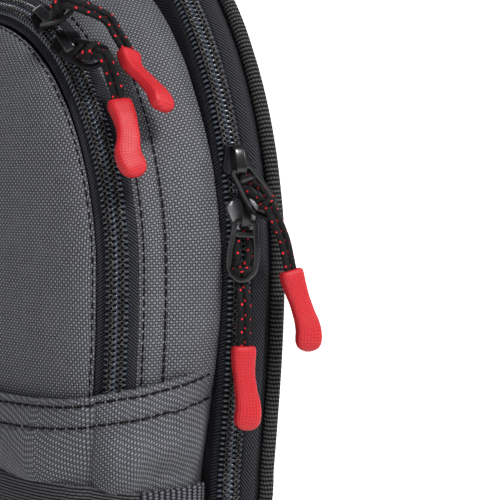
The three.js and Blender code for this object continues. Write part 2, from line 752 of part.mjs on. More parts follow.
// The padded back: a soft panel on the back wall, inside the binding.
const BACK_PAD_SECTIONS = [
  { depth: 0, inset: BACK_PAD_MARGIN },
  { depth: 0.45, inset: BACK_PAD_MARGIN },
  { depth: 0.85, inset: BACK_PAD_MARGIN + BACK_PAD_EDGE },
  { depth: 1, inset: BACK_PAD_MARGIN + BACK_PAD_EDGE * 3 },
];
addMesh(
  "back_pad",
  loft(
    BACK_PAD_SECTIONS.map(({ depth, inset }) => {
      const flat = between(MAIN_SECTIONS, BACK_EDGE_Y);
      return ring({ ...flat, y: BACK_EDGE_Y + depth * BACK_PAD_THICKNESS }, -inset);
    }),
  ),
  fabricBlack,
);

// A flat strap along a list of points, as wide as width across its way.
function strapGeometry(points, width, thickness, steps = 14) {
  const curve = new THREE.CatmullRomCurve3(points, false, "centripetal");
  const back = new THREE.Vector3(0, 1, 0);
  const corners = [
    [0.5, -0.25],
    [0.5, 0.25],
    [0.42, 0.5],
    [-0.42, 0.5],
    [-0.5, 0.25],
    [-0.5, -0.25],
    [-0.42, -0.5],
    [0.42, -0.5],
  ];
  return loft(
    Array.from({ length: steps + 1 }, (_, i) => {
      const at = curve.getPointAt(i / steps);
      const ahead = curve.getTangentAt(i / steps);
      const side = new THREE.Vector3().crossVectors(ahead, back).normalize();
      const face = new THREE.Vector3().crossVectors(side, ahead);
      return corners.map(([a, b]) =>
        at.clone().addScaledVector(side, a * width).addScaledVector(face, b * thickness),
      );
    }),
  );
}

// One side of the harness, stowed flat down the back: shoulder pad, adjuster, webbing and anchor tab.
const PAD_FACE_Y = BACK_EDGE_Y + BACK_PAD_THICKNESS + GAP;
const PAD_MIDDLE_Y = PAD_FACE_Y + SHOULDER_PAD_THICKNESS / 2;
const ADJUSTER_LEVEL = SHOULDER_END_LEVEL - GAP - ADJUSTER_LENGTH / 2;
const ADJUSTER_LOW = ADJUSTER_LEVEL - ADJUSTER_LENGTH / 2 - GAP;
const WEB_BACK_Y = PAD_FACE_Y + WEBBING_THICKNESS / 2;
[["right", 1], ["left", -1]].forEach(([side, sign]) => {
  const place = (x, y, z) => new THREE.Vector3(sign * x, y, z);
  const drift = ANCHOR_SPREAD - SHOULDER_SPREAD;
  const fall = SHOULDER_TOP_LEVEL - ANCHOR_LEVEL;
  const spread = (z) => SHOULDER_SPREAD + (drift * (SHOULDER_TOP_LEVEL - z)) / fall;
  const padRoute = [SHOULDER_TOP_LEVEL, SHOULDER_END_LEVEL].map((z) => place(spread(z), PAD_MIDDLE_Y, z));
  addMesh(
    `shoulder_pad_${side}`,
    strapGeometry(padRoute, SHOULDER_PAD_WIDTH, SHOULDER_PAD_THICKNESS, 4),
    fabricBlack,
  );
  const adjusterRoute = [1, -1].map((end) => {
    const z = ADJUSTER_LEVEL + (end * ADJUSTER_LENGTH) / 2;
    return place(spread(z), PAD_FACE_Y + ADJUSTER_THICKNESS / 2, z);
  });
  addMesh(
    `strap_adjuster_${side}`,
    strapGeometry(adjusterRoute, ADJUSTER_WIDTH, ADJUSTER_THICKNESS, 1),
    plasticBlack,
  );
  const webRoute = [ADJUSTER_LOW, ANCHOR_LEVEL].map((z) => place(spread(z), WEB_BACK_Y, z));
  addMesh(
    `lower_webbing_${side}`,
    strapGeometry(webRoute, WEBBING_WIDTH, WEBBING_THICKNESS, 6),
    fabricBlack,
  );
});

export default pack;
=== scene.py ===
"""A fishing chest pack: its cloth, zips, pulls and harness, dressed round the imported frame.

Lengths are millimetres until a piece is finished, when its mesh is scaled to metres.
"""

import logging
import math
from collections.abc import Callable, Sequence
from dataclasses import dataclass
from enum import Enum
from functools import cached_property

import bmesh
import bpy
from mathutils import Matrix, Vector, noise


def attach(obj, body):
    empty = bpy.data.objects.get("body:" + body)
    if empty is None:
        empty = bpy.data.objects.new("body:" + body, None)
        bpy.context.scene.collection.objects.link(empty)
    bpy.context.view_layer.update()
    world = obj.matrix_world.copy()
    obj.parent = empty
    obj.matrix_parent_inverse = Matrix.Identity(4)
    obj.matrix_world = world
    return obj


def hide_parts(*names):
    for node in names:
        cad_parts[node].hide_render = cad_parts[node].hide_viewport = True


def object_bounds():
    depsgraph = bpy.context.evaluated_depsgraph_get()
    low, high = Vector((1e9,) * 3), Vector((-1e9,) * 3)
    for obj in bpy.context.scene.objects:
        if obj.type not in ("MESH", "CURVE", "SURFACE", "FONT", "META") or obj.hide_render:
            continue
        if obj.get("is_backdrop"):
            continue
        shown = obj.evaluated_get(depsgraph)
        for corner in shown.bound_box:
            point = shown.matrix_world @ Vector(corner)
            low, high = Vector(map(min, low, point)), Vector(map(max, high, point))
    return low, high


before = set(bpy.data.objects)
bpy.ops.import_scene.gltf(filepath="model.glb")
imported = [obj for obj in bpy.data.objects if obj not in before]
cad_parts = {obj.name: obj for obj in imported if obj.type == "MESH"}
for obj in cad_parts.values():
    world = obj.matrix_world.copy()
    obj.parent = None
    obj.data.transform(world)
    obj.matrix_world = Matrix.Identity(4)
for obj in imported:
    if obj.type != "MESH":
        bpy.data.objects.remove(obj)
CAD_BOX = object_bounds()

MM = 0.001
CLOTH_MAP = "Cloth"
GAP = 0.3
UP = Vector((0.0, 0.0, 1.0))
BACK = Vector((0.0, 1.0, 0.0))
LOG = logging.getLogger("chest_pack")
Colour = tuple[float, float, float]
Point = tuple[float, float, float]
Spot = tuple[float, float]
Place = Callable[[float, float], Vector]
Measure = Callable[[float, float, Vector], Spot]


class Body(Enum):
    """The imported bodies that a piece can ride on."""

    PACK = "root"


class Slot(Enum):
    """The material slots' names."""

    BLACK_CANVAS = "black_canvas"
    GREY_CANVAS = "grey_canvas"
    ZIP_TAPE = "zip_tape"
    ZIP_COIL = "zip_coil"
    BINDING = "binding_tape"
    BLACK_WEBBING = "black_webbing"
    GREY_WEBBING = "grey_webbing"
    PAD = "pad_mesh"
    HARDWARE = "zip_hardware"
    CORD = "pull_cord"
    RUBBER = "pull_rubber"
    BUCKLE = "buckle_plastic"


# Shader tools


class Signal:
    """One shader value, on which arithmetic adds Math nodes."""

    def __init__(self, paint: "Paint", socket: bpy.types.NodeSocket) -> None:
        """Wraps a node's output socket."""
        self.paint = paint
        self.socket = socket

    def maths(self, operation: str, *others: "Signal | float") -> "Signal":
        """Adds a Math node.

        Args:
            operation: The Math node's operation.
            others: The node's second and third inputs.

        Returns:
            The node's result.
        """
        inputs = dict(enumerate((self, *others)))
        return self.paint.node("ShaderNodeMath", {"operation": operation}, inputs)

    def __add__(self, other: "Signal | float") -> "Signal":
        """The sum."""
        return self.maths("ADD", other)

    __radd__ = __add__

    def __mul__(self, other: "Signal | float") -> "Signal":
        """The product."""
        return self.maths("MULTIPLY", other)

    __rmul__ = __mul__

    def __sub__(self, other: "Signal | float") -> "Signal":
        """The difference."""
        return self.maths("SUBTRACT", other)

    def __rsub__(self, other: float) -> "Signal":
        """A number minus this value."""
        return self.maths("MULTIPLY", -1.0) + other

    def __truediv__(self, other: "Signal | float") -> "Signal":
        """The quotient."""
        return self.maths("DIVIDE", other)

    def __pow__(self, power: float) -> "Signal":
        """The power."""
        return self.maths("POWER", power)

    def sine(self) -> "Signal":
        """The sine."""
        return self.maths("SINE")

    def fraction(self) -> "Signal":
        """The part past the whole number below."""
        return self.maths("FRACT")

    def floor(self) -> "Signal":
        """The whole number below."""
        return self.maths("FLOOR")

    def absolute(self) -> "Signal":
        """The value without its sign."""
        return self.maths("ABSOLUTE")

    def hump(self) -> "Signal":
        """A row of round humps, one for each whole step, from 0 to 1 and back."""
        return (self.fraction() * math.pi).sine()

    def smooth(self, low: float, high: float) -> "Signal":
        """A soft step.

        Args:
            low: The value that gives 0.
            high: The value that gives 1.

        Returns:
            The step's value, from 0 to 1.
        """
        settings = {"interpolation_type": "SMOOTHSTEP"}
        return self.paint.node(
            "ShaderNodeMapRange", settings, {0: self, 1: low, 2: high, 3: 0.0, 4: 1.0}
        )


class Paint:
    """A material's node tree, with one Principled shader."""

    def __init__(self, name: str) -> None:
        """Starts a material with its shader and output."""
        self.material = bpy.data.materials.new(name)
        self.material.use_nodes = True
        self.tree = self.material.node_tree
        self.tree.nodes.clear()
        self.shader = self.tree.nodes.new("ShaderNodeBsdfPrincipled")
        output = self.tree.nodes.new("ShaderNodeOutputMaterial")
        self.tree.links.new(self.shader.outputs[0], output.inputs["Surface"])

    def feed(self, socket: bpy.types.NodeSocket, value: object) -> None:
        """Links a signal to a socket, or sets the socket's own value."""
        if isinstance(value, Signal):
            self.tree.links.new(value.socket, socket)
        elif isinstance(value, tuple) and len(value) == 3 and socket.type == "RGBA":
            socket.default_value = (*value, 1.0)
        else:
            socket.default_value = value

    def node(
        self,
        kind: str,
        settings: dict[str, object],
        inputs: dict[int | str, object],
        output: int | str = 0,
    ) -> Signal:
        """Adds a node.

        Args:
            kind: The node's type.
            settings: Its properties, which are set first.
            inputs: Values or signals for its sockets.
            output: The socket that is returned.

        Returns:
            The chosen output.
        """
        made = self.tree.nodes.new(kind)
        for key, value in settings.items():
            setattr(made, key, value)
        for key, value in inputs.items():
            self.feed(made.inputs[key], value)
        return Signal(self, made.outputs[output])

    def cloth(self) -> tuple[Signal, Signal]:
        """The cloth map's two lengths, in millimetres."""
        chart = self.node("ShaderNodeUVMap", {"uv_map": CLOTH_MAP}, {})
        parts = self.node("ShaderNodeSeparateXYZ", {}, {0: chart})
        return parts, Signal(self, parts.socket.node.outputs[1])

    def spot(self) -> Signal:
        """The Object coordinates."""
        return self.node("ShaderNodeTexCoord", {}, {}, "Object")

    def cloud(self, size: float, detail: float = 2.0, rough: float = 0.5) -> Signal:
        """Soft noise.

        Args:
            size: The size of its blots, in millimetres.
            detail: The number of finer layers.
            rough: How strong the finer layers are.

        Returns:
            The noise, from 0 to 1 about 0.5.
        """
        inputs = {"Vector": self.spot(), "Scale": 1.0 / (size * MM), "Detail": detail}
        return self.node("ShaderNodeTexNoise", {}, {**inputs, "Roughness": rough})

    def blend(self, mask: Signal, low: object, high: object) -> Signal:
        """A colour between two, chosen by a mask from 0 to 1."""
        return self.node("ShaderNodeMix", {"data_type": "RGBA"}, {0: mask, 6: low, 7: high}, 2)

    def bump(self, height: Signal, depth: float) -> Signal:
        """A normal from a height.

        Args:
            height: The height, from 0 to 1.
            depth: What a height of 1 stands for, in millimetres.

        Returns:
            The normal.
        """
        inputs = {"Height": height, "Distance": depth * MM, "Strength": 1.0}
        return self.node("ShaderNodeBump", {}, inputs)

    def done(self, **sockets: object) -> bpy.types.Material:
        """Feeds the shader's sockets, named in words joined by underscores.

        Args:
            sockets: Values or signals, such as base_color and roughness.

        Returns:
            The finished material.
        """
        names = {socket.name.lower().replace(" ", "_"): socket for socket in self.shader.inputs}
        for name, value in sockets.items():
            self.feed(names[name], value)
        return self.material


# Finishes


@dataclass(frozen=True)
class PlainWeave:
    """A coarse plain weave of thick yarns, with painted highlights on the yarn crowns, brighter on the warp
    floats, and painted shade between the yarns.
    """

    name: str
    dark: Colour
    light: Colour
    cell: float = 0.9
    relief: float = 0.16
    roughness: float = 0.8

    def material(self) -> bpy.types.Material:
        """Makes the finish's material."""
        paint = Paint(self.name)
        u, v = paint.cloth()
        wander = (paint.cloud(9.0) - 0.5) * 0.5
        across = u / self.cell + wander
        down = v / self.cell + wander
        over = (across.floor() + down.floor()) * 0.5
        weft = over.fraction() * 2.0
        warp = 1.0 - weft
        wide, tall = across.hump(), down.hump()
        warp_yarn = (wide**0.9) * (tall**0.4)
        weft_yarn = (wide**0.4) * (tall**0.9)
        height = warp * warp_yarn + weft * weft_yarn * 0.94
        fibre = paint.cloud(0.35, 3.0)
        patchy = paint.cloud(26.0) * 0.5 + paint.cloud(4.0) * 0.5
        # Painted light: each yarn's crown is lighter as a painted highlight, more on warp floats than weft
        # floats, and the gaps between yarns are darker as painted shade.
        lit = (height * (0.52 + warp * 0.48)).smooth(0.08, 0.92) * (0.45 + fibre)
        tone = paint.blend(lit, self.dark, self.light)
        worn = paint.blend(patchy.smooth(0.4, 0.8) * 0.12, tone, self.light)
        return paint.done(
            base_color=worn,
            roughness=self.roughness - lit * 0.14,
            normal=paint.bump(height + fibre * 0.18, self.relief),
            specular_ior_level=0.14,
        )


@dataclass(frozen=True)
class Twill:
    """A fine twill, whose diagonal ribs lean one way or meet in a chevron, with painted highlights on the rib
    crests and painted shade between the ribs.
    """

    name: str
    dark: Colour
    light: Colour
    pitch: float = 1.05
    slant: float = 0.75
    relief: float = 0.14
    roughness: float = 0.8
    chevron: bool = False

    def material(self) -> bpy.types.Material:
        """Makes the finish's material."""
        paint = Paint(self.name)
        u, v = paint.cloth()
        wander = (paint.cloud(7.0) - 0.5) * 0.6
        lean = (u.absolute() if self.chevron else u) * self.slant
        rib = ((v + lean) / self.pitch + wander).hump()
        yarn = ((u / 0.42) + wander).hump()
        fibre = paint.cloud(0.3, 3.0)
        height = rib * 0.8 + yarn * rib * 0.25
        # Painted light: the rib crests are lighter as a painted highlight and the hollows between ribs darker
        # as painted shade.
        lit = height.smooth(0.3, 1.05) * (0.45 + fibre)
        tone = paint.blend(lit, self.dark, self.light)
        return paint.done(
            base_color=tone,
            roughness=self.roughness - lit * 0.1,
            normal=paint.bump(height + fibre * 0.15, self.relief),
            specular_ior_level=0.1,
        )


@dataclass(frozen=True)
class Grosgrain:
    """A ribbed tape, whose ribs run across the cloth map's first length, with painted highlights on the rib
    crests, broken into dashes, and painted shade between the ribs.
    """

    name: str
    dark: Colour
    light: Colour
    pitch: float = 1.45
    cross: float = 0.8
    dashing: float = 1.0
    brick: float = 0.5
    relief: float = 0.25

    def material(self) -> bpy.types.Material:
        """Makes the finish's material."""
        paint = Paint(self.name)
        u, v = paint.cloth()
        wander = (paint.cloud(5.0) - 0.5) * 0.25
        rib = (u / self.pitch + wander).hump()
        dash = (v / self.cross + (u / self.pitch).floor() * self.brick).hump()
        fibre = paint.cloud(0.3, 3.0)
        height = rib * (0.7 + dash * 0.3)
        # Painted light: the rib crests, broken into dashes, are lighter as a painted highlight and the
        # hollows between ribs darker as painted shade.
        broken = rib * (dash * self.dashing + (1.0 - self.dashing))
        lit = broken.smooth(0.35, 0.95) * (0.35 + fibre)
        tone = paint.blend(lit, self.dark, self.light)
        return paint.done(
            base_color=tone,
            roughness=0.82 - lit * 0.2,
            normal=paint.bump(height + fibre * 0.12, self.relief),
            specular_ior_level=0.12,
        )


@dataclass(frozen=True)
class Nylon:
    """Smooth drawn nylon: a zip's coil, or its sewing thread."""

    name: str
    dark: Colour
    light: Colour
    roughness: float = 0.24
    blot: float = 1.4
    specular: float = 0.6

    def material(self) -> bpy.types.Material:
        """Makes the finish's material."""
        paint = Paint(self.name)
        blots = paint.cloud(self.blot, 2.0).smooth(0.42, 0.72)
        grain = paint.cloud(0.25, 2.0)
        return paint.done(
            base_color=paint.blend(blots, self.dark, self.light),
            roughness=self.roughness + grain * 0.15,
            normal=paint.bump(grain, 0.03),
            specular_ior_level=self.specular,
        )


@dataclass(frozen=True)
class Enamel:
    """Black enamel on cast zinc, with lighter rubbed patches."""

    name: str
    base: Colour
    edge: Colour
    roughness: float
    metallic: float
    specular: float = 0.3

    def material(self) -> bpy.types.Material:
        """Makes the finish's material."""
        paint = Paint(self.name)
        rubbed = paint.cloud(2.4, 3.0).smooth(0.54, 0.8)
        fine = paint.cloud(0.3, 3.0)
        return paint.done(
            base_color=paint.blend(rubbed * 0.6, self.base, self.edge),
            roughness=self.roughness + fine * 0.1,
            metallic=self.metallic,
            normal=paint.bump(paint.cloud(0.9, 3.0), 0.012),
            specular_ior_level=self.specular,
        )


@dataclass(frozen=True)
class Braid:
    """A braided cord, black with red flecks, with painted highlights on its strands' crowns and painted shade
    between them.
    """

    name: str
    diameter: float
    dark: Colour = (0.002, 0.002, 0.002)
    light: Colour = (0.020, 0.020, 0.022)
    fleck: Colour = (0.70, 0.018, 0.026)
    cell: float = 0.55
    fleck_pitch: float = 4.4
    fleck_rows: int = 3

    def material(self) -> bpy.types.Material:
        """Makes the finish's material."""
        paint = Paint(self.name)
        u, v = paint.cloth()
        right = ((v + u) / self.cell).hump()
        left = ((v - u) / self.cell).hump()
        over = ((((v + u) / self.cell).floor() + ((v - u) / self.cell).floor()) * 0.5).fraction()
        height = right * over * 2.0 + left * (1.0 - over * 2.0)
        turn = math.pi * self.diameter / self.fleck_rows
        row = u / turn
        along = (v + row.floor() * (self.fleck_pitch / self.fleck_rows)) / self.fleck_pitch
        aside = (row.fraction() - 0.5) * (turn / 0.36)
        ahead = (along.fraction() - 0.5) * (self.fleck_pitch / 0.42)
        spot = 1.0 - (aside * aside + ahead * ahead).smooth(0.7, 1.0)
        fibre = paint.cloud(0.25, 2.0)
        # Painted light: the strands' crowns are lighter as a painted highlight and the dips between them
        # darker as painted shade.
        black = paint.blend(height.smooth(0.5, 1.0) * (0.3 + fibre), self.dark, self.light)
        return paint.done(
            base_color=paint.blend(spot, black, self.fleck),
            roughness=0.78 - spot * 0.2,
            normal=paint.bump(height, 0.12),
            specular_ior_level=0.08,
        )


@dataclass(frozen=True)
class GridRubber:
    """Soft satin rubber with a fine grid of grooves on its faces, painted darker in the grooves as painted
    shade.
    """

    name: str
    base: Colour = (0.40, 0.012, 0.018)
    # The darker red: painted shade in the grid's grooves, also mixed in at random for the mottle.
    deep: Colour = (0.18, 0.003, 0.005)
    pitch: float = 0.93

    def material(self) -> bpy.types.Material:
        """Makes the finish's material."""
        paint = Paint(self.name)
        u, v = paint.cloth()
        lines = (1.0 - (u / self.pitch).hump() * (v / self.pitch).hump()) ** 3.0
        mottle = paint.cloud(2.5, 3.0)
        # Painted shade: the grid's grooves take the darker red; the mottle varies the tone at random.
        tone = paint.blend(lines * 0.75 + mottle * 0.15, self.base, self.deep)
        return paint.done(
            base_color=tone,
            roughness=0.42 + mottle * 0.12,
            normal=paint.bump(1.0 - lines + mottle * 0.2, 0.035),
            subsurface_weight=0.08,
            subsurface_radius=(1.0, 0.2, 0.1),
            subsurface_scale=0.002,
            specular_ior_level=0.22,
        )


@dataclass(frozen=True)
class AirMesh:
    """A padded spacer mesh with small round holes, darker in the holes as painted shade and lighter on the
    knit's crowns as a painted highlight.
    """

    name: str
    dark: Colour = (0.008, 0.008, 0.009)
    light: Colour = (0.05, 0.05, 0.053)
    pitch: float = 3.0

    def material(self) -> bpy.types.Material:
        """Makes the finish's material."""
        paint = Paint(self.name)
        u, v = paint.cloth()
        row = v / (self.pitch * 0.866)
        column = u / self.pitch + (row.floor() * 0.5).fraction()
        aside = (column.fraction() - 0.5) * 2.0
        ahead = (row.fraction() - 0.5) * 1.732
        hole = 1.0 - (aside * aside + ahead * ahead).smooth(0.12, 0.4)
        knit = (u / 0.5).hump() * (v / 0.6).hump()
        fibre = paint.cloud(0.4, 3.0)
        # Painted light: the holes are dark as painted shade and the knit's crowns lighter as a painted
        # highlight.
        lit = (knit * 0.6 + fibre * 0.5) * (1.0 - hole)
        return paint.done(
            base_color=paint.blend(lit, self.dark, self.light),
            roughness=0.86 - lit * 0.1,
            normal=paint.bump((1.0 - hole) + knit * 0.15, 0.5),
            specular_ior_level=0.2,
        )


@dataclass(frozen=True)
class Acetal:
    """Moulded black plastic with a fine spark grain."""

    name: str
    base: Colour = (0.012, 0.012, 0.013)
    worn: Colour = (0.035, 0.035, 0.036)

    def material(self) -> bpy.types.Material:
        """Makes the finish's material."""
        paint = Paint(self.name)
        grain = paint.cloud(0.35, 3.0, 0.7)
        rubbed = paint.cloud(6.0, 3.0).smooth(0.5, 0.8)
        return paint.done(
            base_color=paint.blend(rubbed * 0.6, self.base, self.worn),
            roughness=0.42 + grain * 0.2,
            normal=paint.bump(grain, 0.04),
            specular_ior_level=0.45,
        )


@dataclass(frozen=True)
class Backdrop:
    """A pale studio surface."""

    name: str = "studio_pale"
    tone: float = 0.86
    glow_from: float = 0.35
    glow_to: float = 1.3

    def material(self) -> bpy.types.Material:
        """Makes the surface's material."""
        paint = Paint(self.name)
        pale = (self.tone, self.tone, self.tone)
        reach = paint.node("ShaderNodeVectorMath", {"operation": "LENGTH"}, {0: paint.spot()}, "Value")
        return paint.done(
            base_color=pale,
            roughness=0.8,
            emission_color=paint.blend(reach.smooth(self.glow_from, self.glow_to), (0.3, 0.3, 0.3), pale),
            emission_strength=1.15,
            specular_ior_level=0.1,
        )


class Wardrobe:
    """The materials, each made once."""

    def __init__(self) -> None:
        """Makes every finish."""
        # For the weave, twills, binding and webbings below, the dark colour is painted shade between the
        # yarns or ribs and the light colour a painted highlight on their crowns.
        grey = {"dark": (0.014, 0.015, 0.018), "light": (0.160, 0.163, 0.178)}
        self.grey = PlainWeave("grey_basket_weave", **grey).material()
        black = {"dark": (0.002, 0.002, 0.003), "light": (0.030, 0.031, 0.036)}
        self.black = Twill("black_twill", **black).material()
        self.tape = Twill("zip_tape_twill", **black, slant=0.8, chevron=True).material()
        self.binding = Grosgrain(
            "ribbed_binding", (0.0015, 0.0015, 0.002), (0.058, 0.057, 0.055),
            cross=1.0, dashing=0.5, brick=0.3,
        ).material()
        self.web_black = Grosgrain(
            "webbing_black", (0.003, 0.003, 0.004), (0.060, 0.061, 0.067),
            pitch=1.05, cross=1.4, dashing=0.25,
        ).material()
        self.web_grey = Grosgrain(
            "webbing_grey", (0.006, 0.006, 0.008), (0.105, 0.108, 0.120),
            pitch=1.9, cross=1.0, dashing=0.6,
        ).material()
        coil = {"dark": (0.006, 0.010, 0.018), "light": (0.014, 0.022, 0.038)}
        self.coil = Nylon("coil_nylon", **coil, roughness=0.2).material()
        self.coil_sewing = Nylon(
            "coil_sewing", (0.001, 0.001, 0.001), (0.010, 0.010, 0.011),
            roughness=0.8, blot=0.5, specular=0.06,
        ).material()
        self.coil_thread = Nylon(
            "coil_thread", (0.018, 0.017, 0.017), (0.100, 0.096, 0.094),
            roughness=0.6, blot=0.8, specular=0.15,
        ).material()
        self.seam_thread = Nylon(
            "seam_thread", (0.002, 0.0015, 0.0015), (0.016, 0.011, 0.010),
            roughness=0.7, blot=0.6, specular=0.08,
        ).material()
        self.matt_metal = Enamel(
            "slider_matt", (0.003, 0.003, 0.004), (0.012, 0.012, 0.013), 0.42, 0.0, 0.12
        ).material()
        self.bright_metal = Enamel(
            "slider_gunmetal", (0.15, 0.15, 0.16), (0.26, 0.26, 0.27), 0.34, 0.85
        ).material()
        self.bridge_metal = Enamel(
            "bridge_enamel", (0.004, 0.004, 0.005), (0.014, 0.014, 0.015), 0.2, 0.0, 0.4
        ).material()
        self.ring_metal = Enamel(
            "tab_enamel", (0.010, 0.010, 0.011), (0.034, 0.034, 0.037), 0.26, 0.1, 0.5
        ).material()
        self.cord = Braid("flecked_cord", 2.2).material()
        self.rubber = GridRubber("red_rubber").material()
        self.mesh = AirMesh("air_mesh").material()
        self.plastic = Acetal("black_acetal").material()


# Mesh tools


def running(points: Sequence[Sequence[float]]) -> list[float]:
    """The length from the first point to each point."""
    run = [0.0]
    for one, two in zip(points, points[1:]):
        run.append(run[-1] + math.dist(one, two))
    return run


def reached(run: Sequence[float], goals: Sequence[float]) -> list[tuple[int, float]]:
    """Finds where running lengths reach rising goals.

    Args:
        run: The running length at each point.
        goals: The lengths that are looked for.

    Returns:
        The point before each goal, and the share of the way to the next one.
    """
    found = []
    at = 0
    for goal in goals:
        while at < len(run) - 2 and run[at + 1] < goal:
            at += 1
        span = max(run[at + 1] - run[at], 1e-9)
        found.append((at, min(max((goal - run[at]) / span, 0.0), 1.0)))
    return found


def middles(length: float, count: int) -> list[float]:
    """The middles of even steps along a length."""
    return [(k + 0.5) * length / count for k in range(count)]


def axes(side: Vector, along: Vector, out: Vector, at: Vector) -> Matrix:
    """The frame with three axes at a place."""
    matrix = Matrix((side, along, out)).transposed().to_4x4()
    matrix.translation = at
    return matrix


def patch(
    bm: bmesh.types.BMesh, columns: int, rows: int, place: Place, measure: Measure | None = None
) -> list[bmesh.types.BMVert]:
    """Lays a grid of cloth along a surface and charts it in millimetres.

    Args:
        bm: The mesh that it is added to.
        columns: Faces along the first way.
        rows: Faces along the second way.
        place: Gives the point for two shares from 0 to 1.
        measure: Gives a point's two lengths on the cloth, or None for its own lengths.

    Returns:
        The grid's vertices.
    """
    chart = bm.loops.layers.uv.get(CLOTH_MAP) or bm.loops.layers.uv.new(CLOTH_MAP)
    verts = bmesh.ops.create_grid(bm, x_segments=columns, y_segments=rows, size=0.5)["verts"]
    spots = {vert: (round((vert.co.x + 0.5) * columns), round((vert.co.y + 0.5) * rows)) for vert in verts}
    points = {spot: place(spot[0] / columns, spot[1] / rows) for spot in spots.values()}
    lengths: dict[tuple[int, int], tuple[float, float]] = {}
    if measure is None:
        run = running([points[i, rows // 2] for i in range(columns + 1)])
        for i in range(columns + 1):
            rises = running([points[i, j] for j in range(rows + 1)])
            lengths.update({(i, j): (run[i], rise) for j, rise in enumerate(rises)})
    else:
        for (i, j), point in points.items():
            lengths[i, j] = measure(i / columns, j / rows, point)
    for vert, spot in spots.items():
        vert.co = points[spot]
        for loop in vert.link_loops:
            loop[chart].uv = lengths[spot]
    return verts


def frames_along(path: Sequence[Vector], facing: Vector | None, closed: bool) -> list[Matrix]:
    """Frames along a path: x to the side, y outwards and z ahead.

    Args:
        path: The path's points.
        facing: The way that y leans to, or None for a frame carried along without a twist.
        closed: Whether the path ends where it starts.

    Returns:
        A frame for each point.
    """
    count = len(path)
    found: list[Matrix] = []
    carried = facing or Vector((0.31, 0.42, 0.85))
    for i, point in enumerate(path):
        before = path[(i - 1) % count] if closed else path[max(i - 1, 0)]
        after = path[(i + 1) % count] if closed else path[min(i + 1, count - 1)]
        ahead = (after - before).normalized()
        outward = (carried - ahead * carried.dot(ahead)).normalized()
        if facing is None:
            carried = outward
        found.append(axes(outward.cross(ahead), outward, ahead, point))
    return found


def smooth_path(points: Sequence[Vector], steps: int) -> list[Vector]:
    """A smooth curve through points, evenly spaced.

    Args:
        points: The points that it passes through.
        steps: The number of even steps.

    Returns:
        The curve's points.
    """
    ends = [points[0] * 2 - points[1], *points, points[-1] * 2 - points[-2]]
    fine: list[Vector] = []
    for a, b, c, d in zip(ends, ends[1:], ends[2:], ends[3:]):
        for k in range(16):
            t = k / 16
            square = (a * 2 - b * 5 + c * 4 - d) * t**2
            cube = (b * 3 - a - c * 3 + d) * t**3
            fine.append((b * 2 + (c - a) * t + square + cube) * 0.5)
    fine.append(points[-1].copy())
    run = running(fine)
    goals = [run[-1] * k / steps for k in range(steps + 1)]
    return [fine[at].lerp(fine[at + 1], share) for at, share in reached(run, goals)]


def superellipse(width: float, height: float, power: float, sides: int) -> list[Spot]:
    """A rounded box's outline.

    Args:
        width: Its width.
        height: Its height.
        power: 2 for an ellipse, more for a box.
        sides: The number of points.

    Returns:
        Its points, once round.
    """
    points = []
    for k in range(sides):
        turn = 2 * math.pi * (k + 0.5) / sides
        c, s = math.cos(turn), math.sin(turn)
        x = math.copysign(abs(c) ** (2 / power), c) * width / 2
        y = math.copysign(abs(s) ** (2 / power), s) * height / 2
        points.append((x, y))
    return points


def sweep(
    bm: bmesh.types.BMesh,
    path: Sequence[Vector],
    section: Callable[[float], list[Spot]],
    facing: Vector | None = None,
    closed: bool = False,
) -> None:
    """Sweeps a section along a path, with round seams closed and ends capped.

    Args:
        bm: The mesh that it is added to.
        path: The path's points.
        section: Gives the section's points for a share of the path.
        facing: The way that the section's second axis leans to.
        closed: Whether the path ends where it starts.
    """
    frames = frames_along(path, facing, closed)
    rings = [section(i / (len(path) - 1)) for i in range(len(path))]
    if closed:
        frames.append(frames[0])
        rings.append(rings[0])
    sides = len(rings[0])
    middle = rings[len(rings) // 2]
    turn = running([*middle, middle[0]])
    run = running([matrix.translation for matrix in frames])

    def place(round_share: float, along: float) -> Vector:
        """The point on the swept surface."""
        ring = round(along * (len(rings) - 1))
        x, y = rings[ring][round(round_share * sides) % sides]
        return frames[ring] @ Vector((x, y, 0.0))

    def measure(round_share: float, along: float, point: Vector) -> Spot:
        """The lengths round the section and along the path."""
        return turn[round(round_share * sides)], run[round(along * (len(rings) - 1))]

    verts = patch(bm, sides, len(rings) - 1, place, measure)
    bmesh.ops.remove_doubles(bm, verts=verts, dist=1e-4)
    left = [vert for vert in verts if vert.is_valid]
    edges = [e for e in dict.fromkeys(e for vert in left for e in vert.link_edges) if e.is_boundary]
    if edges:
        bmesh.ops.holes_fill(bm, edges=edges, sides=0)
    faces = list(dict.fromkeys(face for vert in left for face in vert.link_faces))
    bmesh.ops.recalc_face_normals(bm, faces=faces)


def scatter(template: bmesh.types.BMesh, frames: Sequence[Matrix]) -> bmesh.types.BMesh:
    """Copies a small mesh to many frames.

    Args:
        template: The mesh to copy, which is freed.
        frames: Where each copy goes.

    Returns:
        One mesh of all the copies.
    """
    source = bpy.data.meshes.new("template")
    template.to_mesh(source)
    template.free()
    bm = bmesh.new()
    for matrix in frames:
        copy = source.copy()
        copy.transform(matrix)
        bm.from_mesh(copy)
        bpy.data.meshes.remove(copy)
    bpy.data.meshes.remove(source)
    return bm


